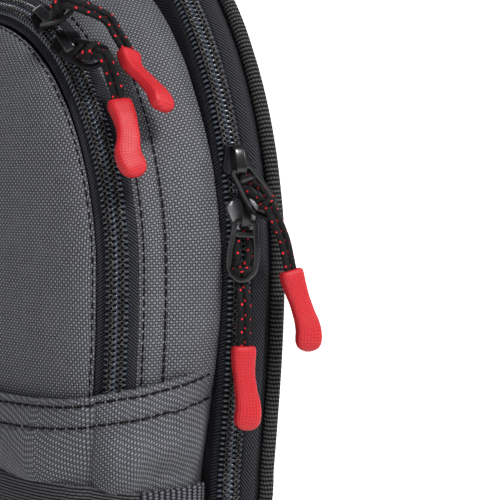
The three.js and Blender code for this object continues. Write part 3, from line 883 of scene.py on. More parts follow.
def finish(
    bm: bmesh.types.BMesh,
    name: str,
    material: bpy.types.Material,
    slot: Slot,
    nodes: Sequence[str] = (),
    wall: float = 0.0,
) -> bpy.types.Object:
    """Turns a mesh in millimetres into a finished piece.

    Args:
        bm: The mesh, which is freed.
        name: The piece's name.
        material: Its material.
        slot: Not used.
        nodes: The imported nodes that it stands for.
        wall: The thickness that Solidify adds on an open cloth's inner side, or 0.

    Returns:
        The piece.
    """
    bmesh.ops.scale(bm, vec=Vector((MM, MM, MM)), verts=bm.verts)
    mesh = bpy.data.meshes.new(name)
    bm.to_mesh(mesh)
    bm.free()
    mesh.polygons.foreach_set("use_smooth", [True] * len(mesh.polygons))
    mesh.materials.append(material)
    piece = bpy.data.objects.new(name, mesh)
    bpy.context.scene.collection.objects.link(piece)
    if wall:
        solid = piece.modifiers.new("wall", "SOLIDIFY")
        solid.thickness = wall * MM
        solid.offset = -1.0
        solid.use_even_offset = False
    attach(piece, Body.PACK.value)
    if nodes:
        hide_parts(*nodes)
    LOG.info("%s: %d faces", name, len(mesh.polygons))
    return piece


def face_outwards(bm: bmesh.types.BMesh, centre: Vector) -> None:
    """Turns all faces over if most of them face a centre."""
    score = sum(face.calc_area() * face.normal.dot(face.calc_center_median() - centre) for face in bm.faces)
    if score < 0.0:
        bmesh.ops.reverse_faces(bm, faces=bm.faces)


@dataclass(frozen=True)
class Cloth:
    """A piece of cloth: its name, finish, slot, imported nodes, wall, fineness and inner side."""

    name: str
    material: bpy.types.Material
    slot: Slot
    nodes: Sequence[str]
    wall: float
    columns: int
    rows: int
    centre: Point
    closed: bool = True

    def lay(self, place: Place, measure: Measure | None = None) -> bpy.types.Object:
        """Lays the cloth along a surface, closes its seam and turns it outwards.

        Args:
            place: Gives the point for two shares from 0 to 1.
            measure: Gives a point's two lengths on the cloth, or None for its own lengths.

        Returns:
            The piece.
        """
        bm = bmesh.new()
        verts = patch(bm, self.columns, self.rows, place, measure)
        if self.closed:
            bmesh.ops.remove_doubles(bm, verts=verts, dist=1e-4)
        bmesh.ops.recalc_face_normals(bm, faces=bm.faces)
        face_outwards(bm, Vector(self.centre))
        return finish(bm, self.name, self.material, self.slot, self.nodes, self.wall)


# The pack's form


def between(a: Spot, b: Spot, t: float) -> Spot:
    """The flat point a share of the way between two."""
    return a[0] + (b[0] - a[0]) * t, a[1] + (b[1] - a[1]) * t


def bezier(points: Sequence[Spot], t: float) -> Spot:
    """A point on a Bezier curve with any number of control points."""
    layer = list(points)
    while len(layer) > 1:
        layer = [between(a, b, t) for a, b in zip(layer, layer[1:])]
    return layer[0]


@dataclass(frozen=True)
class Section:
    """The pack's outline at one depth, seen from the front.

    A share goes once round, from the base's middle up the right side, over the arch and down.
    """

    y: float
    width: float
    height: float
    lean: float = 12.0
    lift: float = 0.0
    widest: float = 105.0
    corner: float = 34.0

    STOPS = (0.0, 0.14, 0.25, 0.42, 1.0)

    def stretches(self) -> list[list[Spot]]:
        """The control points of the right half's four stretches."""
        half = self.width / 2
        foot = half - self.lean * 0.45
        corner = min(self.corner, half * 0.6)
        low, level, high = self.lift, self.widest, self.height
        rise = high - level
        return [
            [(0.0, low), (foot - corner, low)],
            [(foot - corner, low), (foot, low), (foot, low + corner)],
            [
                (foot, low + corner), (foot + self.lean * 0.1, low + corner * 1.4),
                (half, level - (level - corner) * 0.45), (half, level),
            ],
            [(half, level), (half, level + rise * 0.41), (half * 0.69, high), (0.0, high)],
        ]

    def point(self, share: float) -> Spot:
        """The outline's x and z at a share."""
        share %= 1.0
        sign = 1.0 if share <= 0.5 else -1.0
        q = min(share, 1.0 - share) * 2.0
        k = next(i for i in range(4) if q <= self.STOPS[i + 1] + 1e-9)
        t = (q - self.STOPS[k]) / (self.STOPS[k + 1] - self.STOPS[k])
        x, z = bezier(self.stretches()[k], t)
        return sign * x, z

    def outward(self, share: float) -> Spot:
        """The outline's outward direction at a share."""
        step = 0.002
        x0, z0 = self.point(share - step)
        x1, z1 = self.point(share + step)
        length = math.hypot(x1 - x0, z1 - z0)
        return (z1 - z0) / length, (x0 - x1) / length

    def share_at(self, level: float) -> float:
        """The right side's share at a level."""
        low, high = 0.07, 0.5
        for _ in range(24):
            middle = (low + high) / 2
            low, high = (middle, high) if self.point(middle)[1] < level else (low, middle)
        return (low + high) / 2

    def half_at(self, level: float) -> float:
        """Half the outline's width at a level, or 0 outside it."""
        if level <= self.lift or level >= self.height:
            return 0.0
        return self.point(self.share_at(level))[0]


@dataclass(frozen=True)
class Form:
    """A lofted form through sections that are sorted by depth."""

    sections: tuple[Section, ...]

    def at(self, y: float) -> Section:
        """The smooth section at a depth."""
        rows = self.sections
        i = max(0, min(len(rows) - 2, sum(1 for row in rows[1:-1] if row.y <= y)))
        a, b = rows[i], rows[i + 1]
        before, after = rows[max(i - 1, 0)], rows[min(i + 2, len(rows) - 1)]
        span = b.y - a.y
        t = min(max((y - a.y) / span, 0.0), 1.0)

        def mix(key: str) -> float:
            """One measure of the section, along a cubic curve."""
            p, q = getattr(a, key), getattr(b, key)
            slope_a = (q - getattr(before, key)) / (b.y - before.y) * span
            slope_b = (getattr(after, key) - p) / (after.y - a.y) * span
            ends = (2 * t**3 - 3 * t**2 + 1) * p + (t**3 - 2 * t**2 + t) * slope_a
            return ends + (3 * t**2 - 2 * t**3) * q + (t**3 - t**2) * slope_b

        return Section(y, mix("width"), mix("height"), mix("lean"), mix("lift"))

    def place(self, share: float, y: float, out: float = 0.0) -> Vector:
        """The form's point at a share and a depth, moved outwards."""
        section = self.at(y)
        x, z = section.point(share)
        nx, nz = section.outward(share)
        return Vector((x + nx * out, y, z + nz * out))

    def frame(self, share: float, y: float, out: float = 0.0) -> Matrix:
        """The frame on the form: x across to the back, y ahead along it and z outwards."""
        at = self.place(share, y)
        ahead = (self.place(share + 0.003, y) - self.place(share - 0.003, y)).normalized()
        across = self.place(share, y + 0.8) - self.place(share, y - 0.8)
        across = (across - ahead * across.dot(ahead)).normalized()
        outward = across.cross(ahead)
        return axes(across, ahead, outward, at + outward * out)


@dataclass(frozen=True)
class PackSizes:
    """The sizes that the pack's pieces share."""

    width: float = 200.0
    height: float = 235.0
    back_y: float = 44.0
    main_zip_y: float = 27.0
    main_front_y: float = 23.0
    pocket_width: float = 186.0
    pocket_height: float = 216.0
    pocket_edge_y: float = -6.0
    panel_edge_y: float = -16.0
    panel_dome: float = 13.0
    hem_level: float = 64.8
    hem_slope: float = math.tan(math.radians(12.0))
    slip_foot: float = 4.0
    webbing_width: float = 25.0
    webbing_level: float = 20.5
    coil_width: float = 7.6
    coil_rise: float = 2.2
    tape_margin: float = 1.6
    zip_end: float = 22.0
    dome_centre: float = 80.0
    dome_power: float = 2.4

    @property
    def front_zip_y(self) -> float:
        """The front zip's depth."""
        return (self.panel_edge_y + self.pocket_edge_y) / 2

    @cached_property
    def main(self) -> Form:
        """The main compartment's form."""
        rows = [
            (self.main_front_y, 0.95, 0.958), (self.main_zip_y, 0.963, 0.97),
            (self.main_zip_y + 10.0, 0.986, 0.99), (self.back_y, 1.0, 1.0),
        ]
        return Form(tuple(Section(y, w * self.width, h * self.height) for y, w, h in rows))

    @cached_property
    def pocket(self) -> Form:
        """The grey gusset's form."""
        back = self.main_front_y - GAP
        depth = back - self.pocket_edge_y
        wide, high = self.pocket_width, self.pocket_height
        rows = [
            (1.0, 0.946, 0.92, 12.0), (0.64, 0.982, 0.96, 13.2),
            (0.28, 1.003, 0.985, 16.8), (0.0, 1.0, 1.0, 24.0),
        ]
        return Form(tuple(Section(back - d * depth, w * wide, h * high, lean) for d, w, h, lean in rows))

    @cached_property
    def slope(self) -> Form:
        """The slope between the gusset and the front panel, which carries the front zip."""
        wide, high = self.pocket_width, self.pocket_height
        panel = Section(self.panel_edge_y, 0.86 * wide, 0.87 * high, 12.0, 0.02 * high)
        return Form((panel, self.pocket.sections[0]))

    def dome(self, share: float, rise: float, out: float = 0.0) -> Vector:
        """The front panel's dome.

        Args:
            share: The share once round its edge.
            rise: 0 at its edge and 1 at its crown.
            out: How far the point is moved outwards.

        Returns:
            The point.
        """
        edge = self.slope.sections[0]
        x, z = edge.point(share)
        turn = rise * math.pi / 2
        inward = math.cos(turn) ** (2 / self.dome_power) if rise < 1.0 else 0.0
        forward = math.sin(turn) ** (2 / self.dome_power)
        centre = self.dome_centre
        nx, nz = edge.outward(share)
        flat = 1.0 - forward
        y = self.panel_edge_y - self.panel_dome * forward - out * (0.4 + 0.6 * forward)
        return Vector((x * inward + nx * out * flat, y, centre + (z - centre) * inward + nz * out * flat))


def ripple(point: Vector, size: float, seed: float = 0.0) -> float:
    """Soft repeatable noise from -1 to 1 at a point in millimetres."""
    return noise.noise(Vector((point.x / size + seed, point.y / size, point.z / size)))


def ditch(distance: float, width: float) -> float:
    """A dent from 1 on a seam to 0 a width away."""
    return math.exp(-((distance / width) ** 2))


def stitch_template(length: float, thick: float) -> bmesh.types.BMesh:
    """One stitch along y, a thread that dips in at its ends."""
    bm = bmesh.new()
    shares = [k / 4 - 0.5 for k in range(5)]
    path = [Vector((0.0, length * share, thick * (0.42 - 3.3 * share**2))) for share in shares]
    sweep(bm, path, lambda s: superellipse(thick, thick * 0.8, 2.0, 6), UP)
    return bm


def stitch_frames(
    place: Callable[[float], Vector], normal: Callable[[float], Vector], pitch: float
) -> list[Matrix]:
    """Frames for stitches along a line.

    Args:
        place: The line's point for a share from 0 to 1.
        normal: The outward direction there.
        pitch: The distance from stitch to stitch.

    Returns:
        A frame for each stitch, with y along the line.
    """
    fine = 600
    points = [place(k / fine) for k in range(fine + 1)]
    run = running(points)
    frames = []
    for at, step in reached(run, middles(run[-1], int(run[-1] / pitch))):
        ahead = (points[at + 1] - points[at]).normalized()
        side = ahead.cross(normal((at + step) / fine)).normalized()
        frames.append(axes(side, ahead, side.cross(ahead), points[at].lerp(points[at + 1], step)))
    return frames


def surface_normal(place: Place, u: float, v: float, step: float = 0.002) -> Vector:
    """The normal of a surface that is given by two shares."""
    ahead = place(u + step, v) - place(u - step, v)
    aside = place(u, v + step) - place(u, v - step)
    return ahead.cross(aside).normalized()


def grounded(point: Vector) -> Vector:
    """A point kept on or above the ground."""
    point.z = max(point.z, 0.0)
    return point


def fold_in(distance: float, reach: float, depth: float) -> float:
    """How far a rolled edge turns in at a distance from its end."""
    return -depth * max(0.0, 1.0 - distance / reach) ** 2


def even_shares(form: Form, y: float, start: float, end: float, pitch: float) -> list[float]:
    """Shares along a form that are a given length apart.

    Args:
        form: The form.
        y: The depth.
        start: The first share.
        end: The last share.
        pitch: The length between two.

    Returns:
        The shares.
    """
    fine = 1200
    section = form.at(y)
    shares = [start + (end - start) * k / fine for k in range(fine + 1)]
    run = running([section.point(share) for share in shares])
    places = reached(run, middles(run[-1], round(run[-1] / pitch)))
    return [shares[at] + (end - start) / fine * step for at, step in places]


# The cloth pieces


@dataclass(frozen=True)
class StitchRow:
    """Rows of sewn stitches."""

    pitch: float = 3.5
    length: float = 2.6
    thick: float = 0.58

    def build(
        self, name: str, frames: Sequence[Matrix], material: bpy.types.Material, slot: Slot
    ) -> bpy.types.Object:
        """Sews the stitches.

        Args:
            name: The piece's name.
            frames: A frame for each stitch, with y along the row.
            material: The thread's material.
            slot: The slot for it.

        Returns:
            The piece.
        """
        bm = scatter(stitch_template(self.length, self.thick), frames)
        return finish(bm, name, material, slot)

    def frames(
        self, form: Form, y: float, out: float, start: float = 0.0, end: float = 1.0
    ) -> list[Matrix]:
        """Frames along a form at one depth."""
        return [form.frame(share, y, out) for share in even_shares(form, y, start, end, self.pitch)]


@dataclass(frozen=True)
class PocketGusset:
    """The grey cloth band round the front pocket's sides."""

    sizes: PackSizes
    columns: int = 440
    rows: int = 46
    wall: float = 1.8
    first_row: float = 1.8
    second_row: float = 8.6
    first_share: float = 0.08

    def swell(self, share: float, y: float) -> float:
        """How far the cloth stands out at a share and a depth."""
        near = y - self.sizes.pocket_edge_y
        far = self.sizes.main_front_y - GAP - y
        at = self.sizes.pocket.place(share, y)
        pucker = math.sin(share * 2 * math.pi * 92) * 0.14
        seams = ditch(near - self.first_row, 0.9) * 0.55 + ditch(near - self.second_row, 1.1) * 0.6
        pull = ditch(near - self.second_row, 3.4) * pucker + ditch(near - self.first_row, 2.6) * pucker
        soft = 0.55 * ripple(at, 34.0) + 0.22 * ripple(at, 11.0, 5.0)
        belly = 0.7 * math.sin(math.pi * min(near / 9.0, 1.0)) if near < 9.0 else 0.0
        belly += 1.2 * math.sin(math.pi * min(max(near - 10.0, 0.0) / 20.0, 1.0))
        rolled = fold_in(near, 1.6, 1.1) + fold_in(far, 1.2, 0.9)
        belly += 1.5 * math.exp(-(((at.z - 103.0) / 34.0) ** 2)) * max(0.0, 1.0 - far / 16.0)
        level = min(at.z / 10.0, 1.0)
        return (soft + belly + pull) * level - seams + rolled

    def place(self, share: float, v: float) -> Vector:
        """The cloth's surface."""
        front, back = self.sizes.pocket_edge_y, self.sizes.main_front_y - GAP
        y = front + (back - front) * v
        return grounded(self.sizes.pocket.place(share, y, self.swell(share, y)))

    def build(self, wardrobe: Wardrobe) -> None:
        """Makes the band and its two rows of stitches."""
        Cloth(
            "grey_gusset", wardrobe.grey, Slot.GREY_CANVAS, ["pocket_gusset"], self.wall,
            self.columns, self.rows, (0.0, 8.0, 100.0),
        ).lay(self.place)
        row = StitchRow()
        pocket = self.sizes.pocket
        edge = self.sizes.pocket_edge_y
        frames = row.frames(pocket, edge + self.first_row, 0.05, self.first_share, 1.0 - self.first_share)
        frames += row.frames(pocket, edge + self.second_row, 0.0, self.first_share, 1.0 - self.first_share)
        row.build("grey_gusset_stitches", frames, wardrobe.seam_thread, Slot.GREY_CANVAS)


@dataclass(frozen=True)
class FrontPanel:
    """The grey front panel, domed from its sewn edge to its crown."""

    sizes: PackSizes
    columns: int = 320
    rows: int = 56
    wall: float = 1.8
    reach: float = 34.0
    stitch_inset: float = 3.04
    stitch_share: float = 0.095

    def place(self, share: float, v: float) -> Vector:
        """The panel's surface, from its edge at 0 to its crown at 1."""
        rise = v**1.25
        along = v * self.reach
        at = self.sizes.dome(share, rise)
        soft = 0.9 * ripple(at, 40.0, 3.0) + 0.25 * ripple(at, 12.0, 9.0)
        out = soft * min(v * 5.0, 1.0) - 0.5 * ditch(along - self.stitch_inset, 1.1)
        return self.sizes.dome(share, rise, out + fold_in(along, 1.6, 1.0))

    def build(self, wardrobe: Wardrobe) -> None:
        """Makes the panel and the stitches along its edge."""
        chart: dict[Spot, Spot] = {}
        centre = Vector((0.0, 0.0, self.sizes.dome_centre))
        for i in range(self.columns + 1):
            share = i / self.columns
            run = 0.0
            before = self.place(share, 1.0)
            for j in range(self.rows, -1, -1):
                now = self.place(share, j / self.rows)
                run += (now - before).length
                before = now
                flat = Vector((now.x, 0.0, now.z)) - centre
                way = flat.normalized()
                chart[share, j / self.rows] = (way.x * run, way.z * run)
        Cloth(
            "grey_front_panel", wardrobe.grey, Slot.GREY_CANVAS, ["front_panel"], self.wall,
            self.columns, self.rows, (0.0, 0.0, 100.0),
        ).lay(self.place, lambda u, v, p: chart[u, v])
        row = StitchRow()
        v = self.stitch_share
        frames = stitch_frames(
            lambda s: self.place(s, v), lambda s: surface_normal(self.place, s, v), row.pitch
        )
        row.build("grey_front_panel_stitches", frames, wardrobe.seam_thread, Slot.GREY_CANVAS)


@dataclass(frozen=True)
class Girdle:
    """The front pocket's horizontal outline at each level, from the right back round to the left."""

    sizes: PackSizes
    step: float = 3.0
    top: float = 96.0
    samples: int = 240

    def right_half(self, level: float) -> list[Spot]:
        """The outline's right half at a level, from the back to the middle of the front."""
        sizes = self.sizes
        back, edge, panel = sizes.main_front_y - 2 * GAP, sizes.pocket_edge_y, sizes.panel_edge_y
        points = []
        for k in range(16):
            y = back + (edge - back) * k / 15
            points.append((sizes.pocket.at(y).half_at(level), y))
        for k in range(1, 7):
            y = edge + (panel - edge) * k / 6
            points.append((sizes.slope.at(y).half_at(level), y))
        outline = sizes.slope.sections[0]
        centre, power = sizes.dome_centre, sizes.dome_power
        least = max((centre - level) / (centre - outline.lift - 0.5), 0.0) if level < centre else 0.0
        for k in range(1, 31):
            inward = math.cos(k / 30 * math.pi / 2)
            inward = least + (1.0 - least) * inward
            forward = max(1.0 - inward**power, 0.0) ** (1 / power)
            half = outline.half_at(centre + (level - centre) / inward) * inward if inward > 0.02 else 0.0
            points.append((half, panel - sizes.panel_dome * forward))
        points.append((0.0, points[-1][1]))
        return points

    @cached_property
    def levels(self) -> list[list[Spot]]:
        """The whole outlines, evenly spaced along their length."""
        found = []
        for k in range(int(self.top / self.step) + 1):
            right = self.right_half(max(k * self.step, 1.0))
            whole = right + [(-x, y) for x, y in reversed(right[:-1])]
            run = running(whole)
            goals = [run[-1] * n / self.samples for n in range(self.samples + 1)]
            found.append([between(whole[at], whole[at + 1], t) for at, t in reached(run, goals)])
        return found

    def spot(self, share: float, level: float) -> Spot:
        """The outline's x and y at a share and a level."""
        k = min(max(level / self.step, 0.0), len(self.levels) - 1.001)
        n = min(max(share, 0.0), 0.99999) * self.samples
        rows = self.levels[int(k)], self.levels[int(k) + 1]
        low, high = (between(row[int(n)], row[int(n) + 1], n % 1) for row in rows)
        return between(low, high, k % 1)

    def place(self, share: float, level: float, out: float) -> Vector:
        """The outline's point at a share and a level, moved outwards."""
        x0, y0 = self.spot(share - 0.006, level)
        x1, y1 = self.spot(share + 0.006, level)
        x, y = self.spot(share, level)
        length = max(math.hypot(x1 - x0, y1 - y0), 1e-6)
        return Vector((x - (y1 - y0) / length * out, y + (x1 - x0) / length * out, level))

    def share_where(self, level: float, axis: int, value: float) -> float:
        """The first share, from the right back, where x or y has fallen to a value."""
        fine = 2000
        return next(k / fine for k in range(fine + 1) if self.spot(k / fine, level)[axis] <= value)


@dataclass(frozen=True)
class Fold:
    """One soft fold: its place from a side edge and the ground, its half sizes and its height."""

    run: float
    level: float
    wide: float
    tall: float
    height: float

    def at(self, run: float, level: float) -> float:
        """The fold's height at a place."""
        return self.height * ditch(run - self.run, self.wide) * ditch(level - self.level, self.tall)


@dataclass(frozen=True)
class SlipPocket:
    """The low grey pocket outside the front one, with a hemmed top edge."""

    sizes: PackSizes
    girdle: Girdle
    columns: int = 380
    rows: int = 84
    wall: float = 1.6
    stand: float = 1.7
    hem_stand: float = 1.5
    girth: float = 250.0
    first_row: float = 2.5
    second_row: float = 9.6
    folds: tuple[Fold, ...] = (
        Fold(run=8.0, level=44.0, wide=7.0, tall=14.0, height=1.3),
        Fold(run=21.0, level=34.0, wide=8.0, tall=7.0, height=-2.2),
        Fold(run=35.0, level=40.0, wide=6.0, tall=17.0, height=2.6),
        Fold(run=47.0, level=40.0, wide=6.0, tall=17.0, height=-2.2),
        Fold(run=66.0, level=42.0, wide=12.0, tall=12.0, height=1.8),
        Fold(run=92.0, level=38.0, wide=10.0, tall=10.0, height=-1.6),
    )

    def hem(self, y: float) -> float:
        """The level of the top edge at a depth."""
        return self.sizes.hem_level + (y - self.sizes.panel_edge_y) * self.sizes.hem_slope

    def place(self, share: float, v: float) -> Vector:
        """The cloth's surface, from its foot at 0 to its folded top edge at 1."""
        foot = self.sizes.slip_foot
        level = 30.0
        for _ in range(3):
            y = self.girdle.spot(share, level)[1]
            level = foot + (self.hem(y) - foot) * v
        below = self.hem(y) - level
        at = Vector((share * self.girth, 0.0, level))
        held = min(abs(level - self.sizes.webbing_level) / 16.0, 1.0) ** 2
        creased = Vector((at.x * 0.6, 0.0, at.z * 1.6))
        fold = 1.8 * ripple(at, 24.0, 2.0) + 1.6 * ripple(creased, 16.0, 7.0)
        side_run = min(share, 1.0 - share) * self.girth
        fold += sum(one.at(side_run, level) for one in self.folds)
        loose = held * min(below / 12.0, 1.0)
        bulge = 3.2 * math.exp(-(((level - 45.0) / 8.5) ** 2)) * min(below / 8.0, 1.0)
        sewn = min(side_run / 14.0, 1.0)
        hemmed = 0.5 if below < self.second_row + 0.8 else 0.0
        pucker = math.sin(at.x * 2 * math.pi / 7.5) * 0.16
        seams = ditch(below - self.first_row, 0.8) * 0.5 + ditch(below - self.second_row, 0.9) * 0.6
        pull = ditch(below - self.second_row, 3.0) * pucker
        small = 0.2 * ripple(at, 7.0, 4.0)
        stand = self.stand + self.hem_stand * min(max((level - 46.0) / 10.0, 0.0), 1.0)
        out = (stand - 0.4) * sewn + 0.4 + (fold * loose + bulge + hemmed + small) * sewn - seams + pull
        out += fold_in(below, 1.3, 1.0) + 0.3 * math.sin(min(below, 2.4) / 2.4 * math.pi)
        return self.girdle.place(share, level, max(out, 0.3 + 0.9 * sewn))

    def build(self, wardrobe: Wardrobe) -> None:
        """Makes the pocket and its hem's stitches."""
        Cloth(
            "grey_slip_pocket", wardrobe.grey, Slot.GREY_CANVAS, ["slip_panel"], self.wall,
            self.columns, self.rows, (0.0, 10.0, 35.0), closed=False,
        ).lay(self.place)
        row = StitchRow(length=2.8, thick=0.7)
        frames = []
        for below in (self.first_row, self.second_row):
            v = 1.0 - below / (self.sizes.hem_level - self.sizes.slip_foot)
            frames += stitch_frames(
                lambda s, v=v: self.place(0.01 + s * 0.98, v),
                lambda s, v=v: surface_normal(self.place, 0.01 + s * 0.98, v) * -1.0,
                row.pitch,
            )
        for frame_ in frames:
            frame_.translation += frame_.col[2].to_3d() * 0.3
        row.build("grey_slip_pocket_stitches", frames, wardrobe.seam_thread, Slot.GREY_CANVAS)


@dataclass(frozen=True)
class WebbingBand:
    """Flat webbing round the foot of the slip pocket, with a looped selvage."""

    sizes: PackSizes
    girdle: Girdle
    name: str
    nodes: tuple[str, ...]
    start: float
    end: float
    slot: Slot
    upright: bool
    stand: float = 3.9
    thickness: float = 1.6
    rib: float = 1.9
    lift: float = 0.0
    girth: float = 245.0
    rows: int = 44

    def place(self, u: float, v: float) -> Vector:
        """The webbing's outer surface."""
        share = self.start + (self.end - self.start) * u
        width = self.sizes.webbing_width
        run = share * self.girth
        across = (v - 0.5) * width
        edge = width / 2 - abs(across)
        loops = 0.45 * abs(math.sin(run * math.pi / self.rib)) * max(0.0, 1.0 - edge / 1.0)
        phase = run if self.upright else across
        ribs = 0.2 * abs(math.sin(phase * math.pi / self.rib))
        length = abs(self.end - self.start) * self.girth
        risen = self.lift * min(min(u, 1.0 - u) * length / 22.0, 1.0)
        level = self.sizes.webbing_level + across + math.copysign(loops, across) + risen
        ease = 0.35 * ripple(Vector((run, 0.0, across * 0.4)), 21.0, 6.0)
        return self.girdle.place(share, level, self.stand + ribs + ease + fold_in(edge, 0.8, 0.5))

    def build(self, material: bpy.types.Material) -> None:
        """Makes the webbing."""
        length = abs(self.end - self.start) * self.girth
        columns = max(24, round(length / 0.55))

        def measure(u: float, v: float, point: Vector) -> Spot:
            """The webbing's lengths, with its ribs along the first."""
            run, across = u * length, v * self.sizes.webbing_width
            return (run, across) if self.upright else (across, run)

        Cloth(
            self.name, material, self.slot, self.nodes, self.thickness, columns, self.rows,
            (0.0, 10.0, 26.0), closed=False,
        ).lay(self.place, measure)


@dataclass(frozen=True)
class MainCompartment:
    """The black compartment behind the front pocket: its front, its rear band and its back.

    Each band is a table of a depth past its first edge and how far the cloth stands out there.
    """

    sizes: PackSizes
    columns: int = 360
    wall: float = 1.8
    centre: float = 110.0
    front_band: tuple[Spot, ...] = ((0.0, -2.4), (0.1, -2.0), (0.6, -1.7), (1.4, -1.8))
    rear_band: tuple[Spot, ...] = (
        (-1.4, 0.0), (-0.4, 0.9), (0.9, 1.5), (2.2, 1.9), (3.4, 1.7), (4.4, 0.7), (5.0, -0.9), (6.0, -1.2),
    )

    def build(self, wardrobe: Wardrobe) -> None:
        """Makes both halves."""
        front_y = self.sizes.main_front_y
        zip_y = self.sizes.main_zip_y
        tape = self.sizes.coil_width / 2 + self.sizes.tape_margin
        ahead = [(front_y + y, out) for y, out in self.front_band]
        self.half("black_main_front", "main_front", ahead, front_y, wardrobe, 0.0)
        rear = [(zip_y + tape + y, out) for y, out in self.rear_band]
        rear += [(self.sizes.back_y - 1.2, -0.9), (self.sizes.back_y, -2.2)]
        self.half("black_rear_shell", "rear_shell", rear, self.sizes.back_y, wardrobe, 1.0)

    def half(
        self,
        name: str,
        node: str,
        profile: list[Spot],
        flat_y: float,
        wardrobe: Wardrobe,
        softness: float,
    ) -> None:
        """Makes one half: a band along the profile, closed by a flat wall.

        Args:
            name: The piece's name.
            node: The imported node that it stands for.
            profile: The band's depths and how far it stands out there.
            flat_y: The wall's depth.
            wardrobe: The finishes.
            softness: How strongly the band undulates.
        """
        main = self.sizes.main
        wall_first = abs(profile[0][0] - flat_y) < 1e-6
        steps = [(y, out, 1.0) for y, out in profile]
        wall = [(flat_y, profile[0 if wall_first else -1][1], 1.0 - k / 8) for k in range(1, 9)]
        steps = list(reversed(wall)) + steps if wall_first else steps + wall

        def place(share: float, v: float) -> Vector:
            """The half's surface."""
            y, out, inward = steps[round(v * (len(steps) - 1))]
            at = main.place(share, y)
            ease = 0.35 * ripple(at, 30.0, 1.0) + 0.12 * ripple(at, 8.0, 2.0)
            point = main.place(share, y, out + ease * softness * min(at.z / 10.0, 1.0) * (out > 0.5))
            point.x *= inward
            point.z = self.centre + (point.z - self.centre) * inward
            return grounded(point)

        Cloth(
            name, wardrobe.black, Slot.BLACK_CANVAS, [node], self.wall, self.columns, len(steps) - 1,
            (0.0, 33.0, self.centre),
        ).lay(place)


@dataclass(frozen=True)
class EdgeBinding:
    """The ribbed tape folded round the back edge."""

    sizes: PackSizes
    width: float = 5.2
    rise: float = 2.6
    rib: float = 1.45
    per_rib: int = 4
    rows: int = 12
    wall: float = 0.7

    def build(self, wardrobe: Wardrobe) -> None:
        """Makes the tape, with its ribs modelled."""
        main = self.sizes.main
        centre = self.sizes.back_y - self.width / 2
        shares = even_shares(main, centre, 0.0, 1.0, self.rib / self.per_rib)
        frames = [main.frame(share, centre) for share in shares]
        count = len(frames)

        def place(u: float, v: float) -> Vector:
            """The tape's half-round surface."""
            k = round(u * count) % count
            turn = math.pi * (v - 0.04) / 0.92
            rib = 0.4 * abs(math.sin(math.pi * k / self.per_rib)) - 0.14
            wave = 0.2 * ripple(frames[k].translation, 14.0, 8.0)
            x = -math.cos(turn) * (self.width / 2 - 0.1 + wave * 0.5)
            z = max(math.sin(turn), -0.1) * (self.rise - 0.2 + wave + rib)
            return grounded(frames[k] @ Vector((x, 0.0, z)))

        def measure(u: float, v: float, point: Vector) -> Spot:
            """The tape's lengths, in step with its ribs."""
            return u * count * self.rib / self.per_rib, v * math.pi * self.rise

        Cloth(
            "ribbed_edge_binding", wardrobe.binding, Slot.BINDING, ["edge_binding"], self.wall,
            count, self.rows, (0.0, 41.0, 110.0),
        ).lay(place, measure)


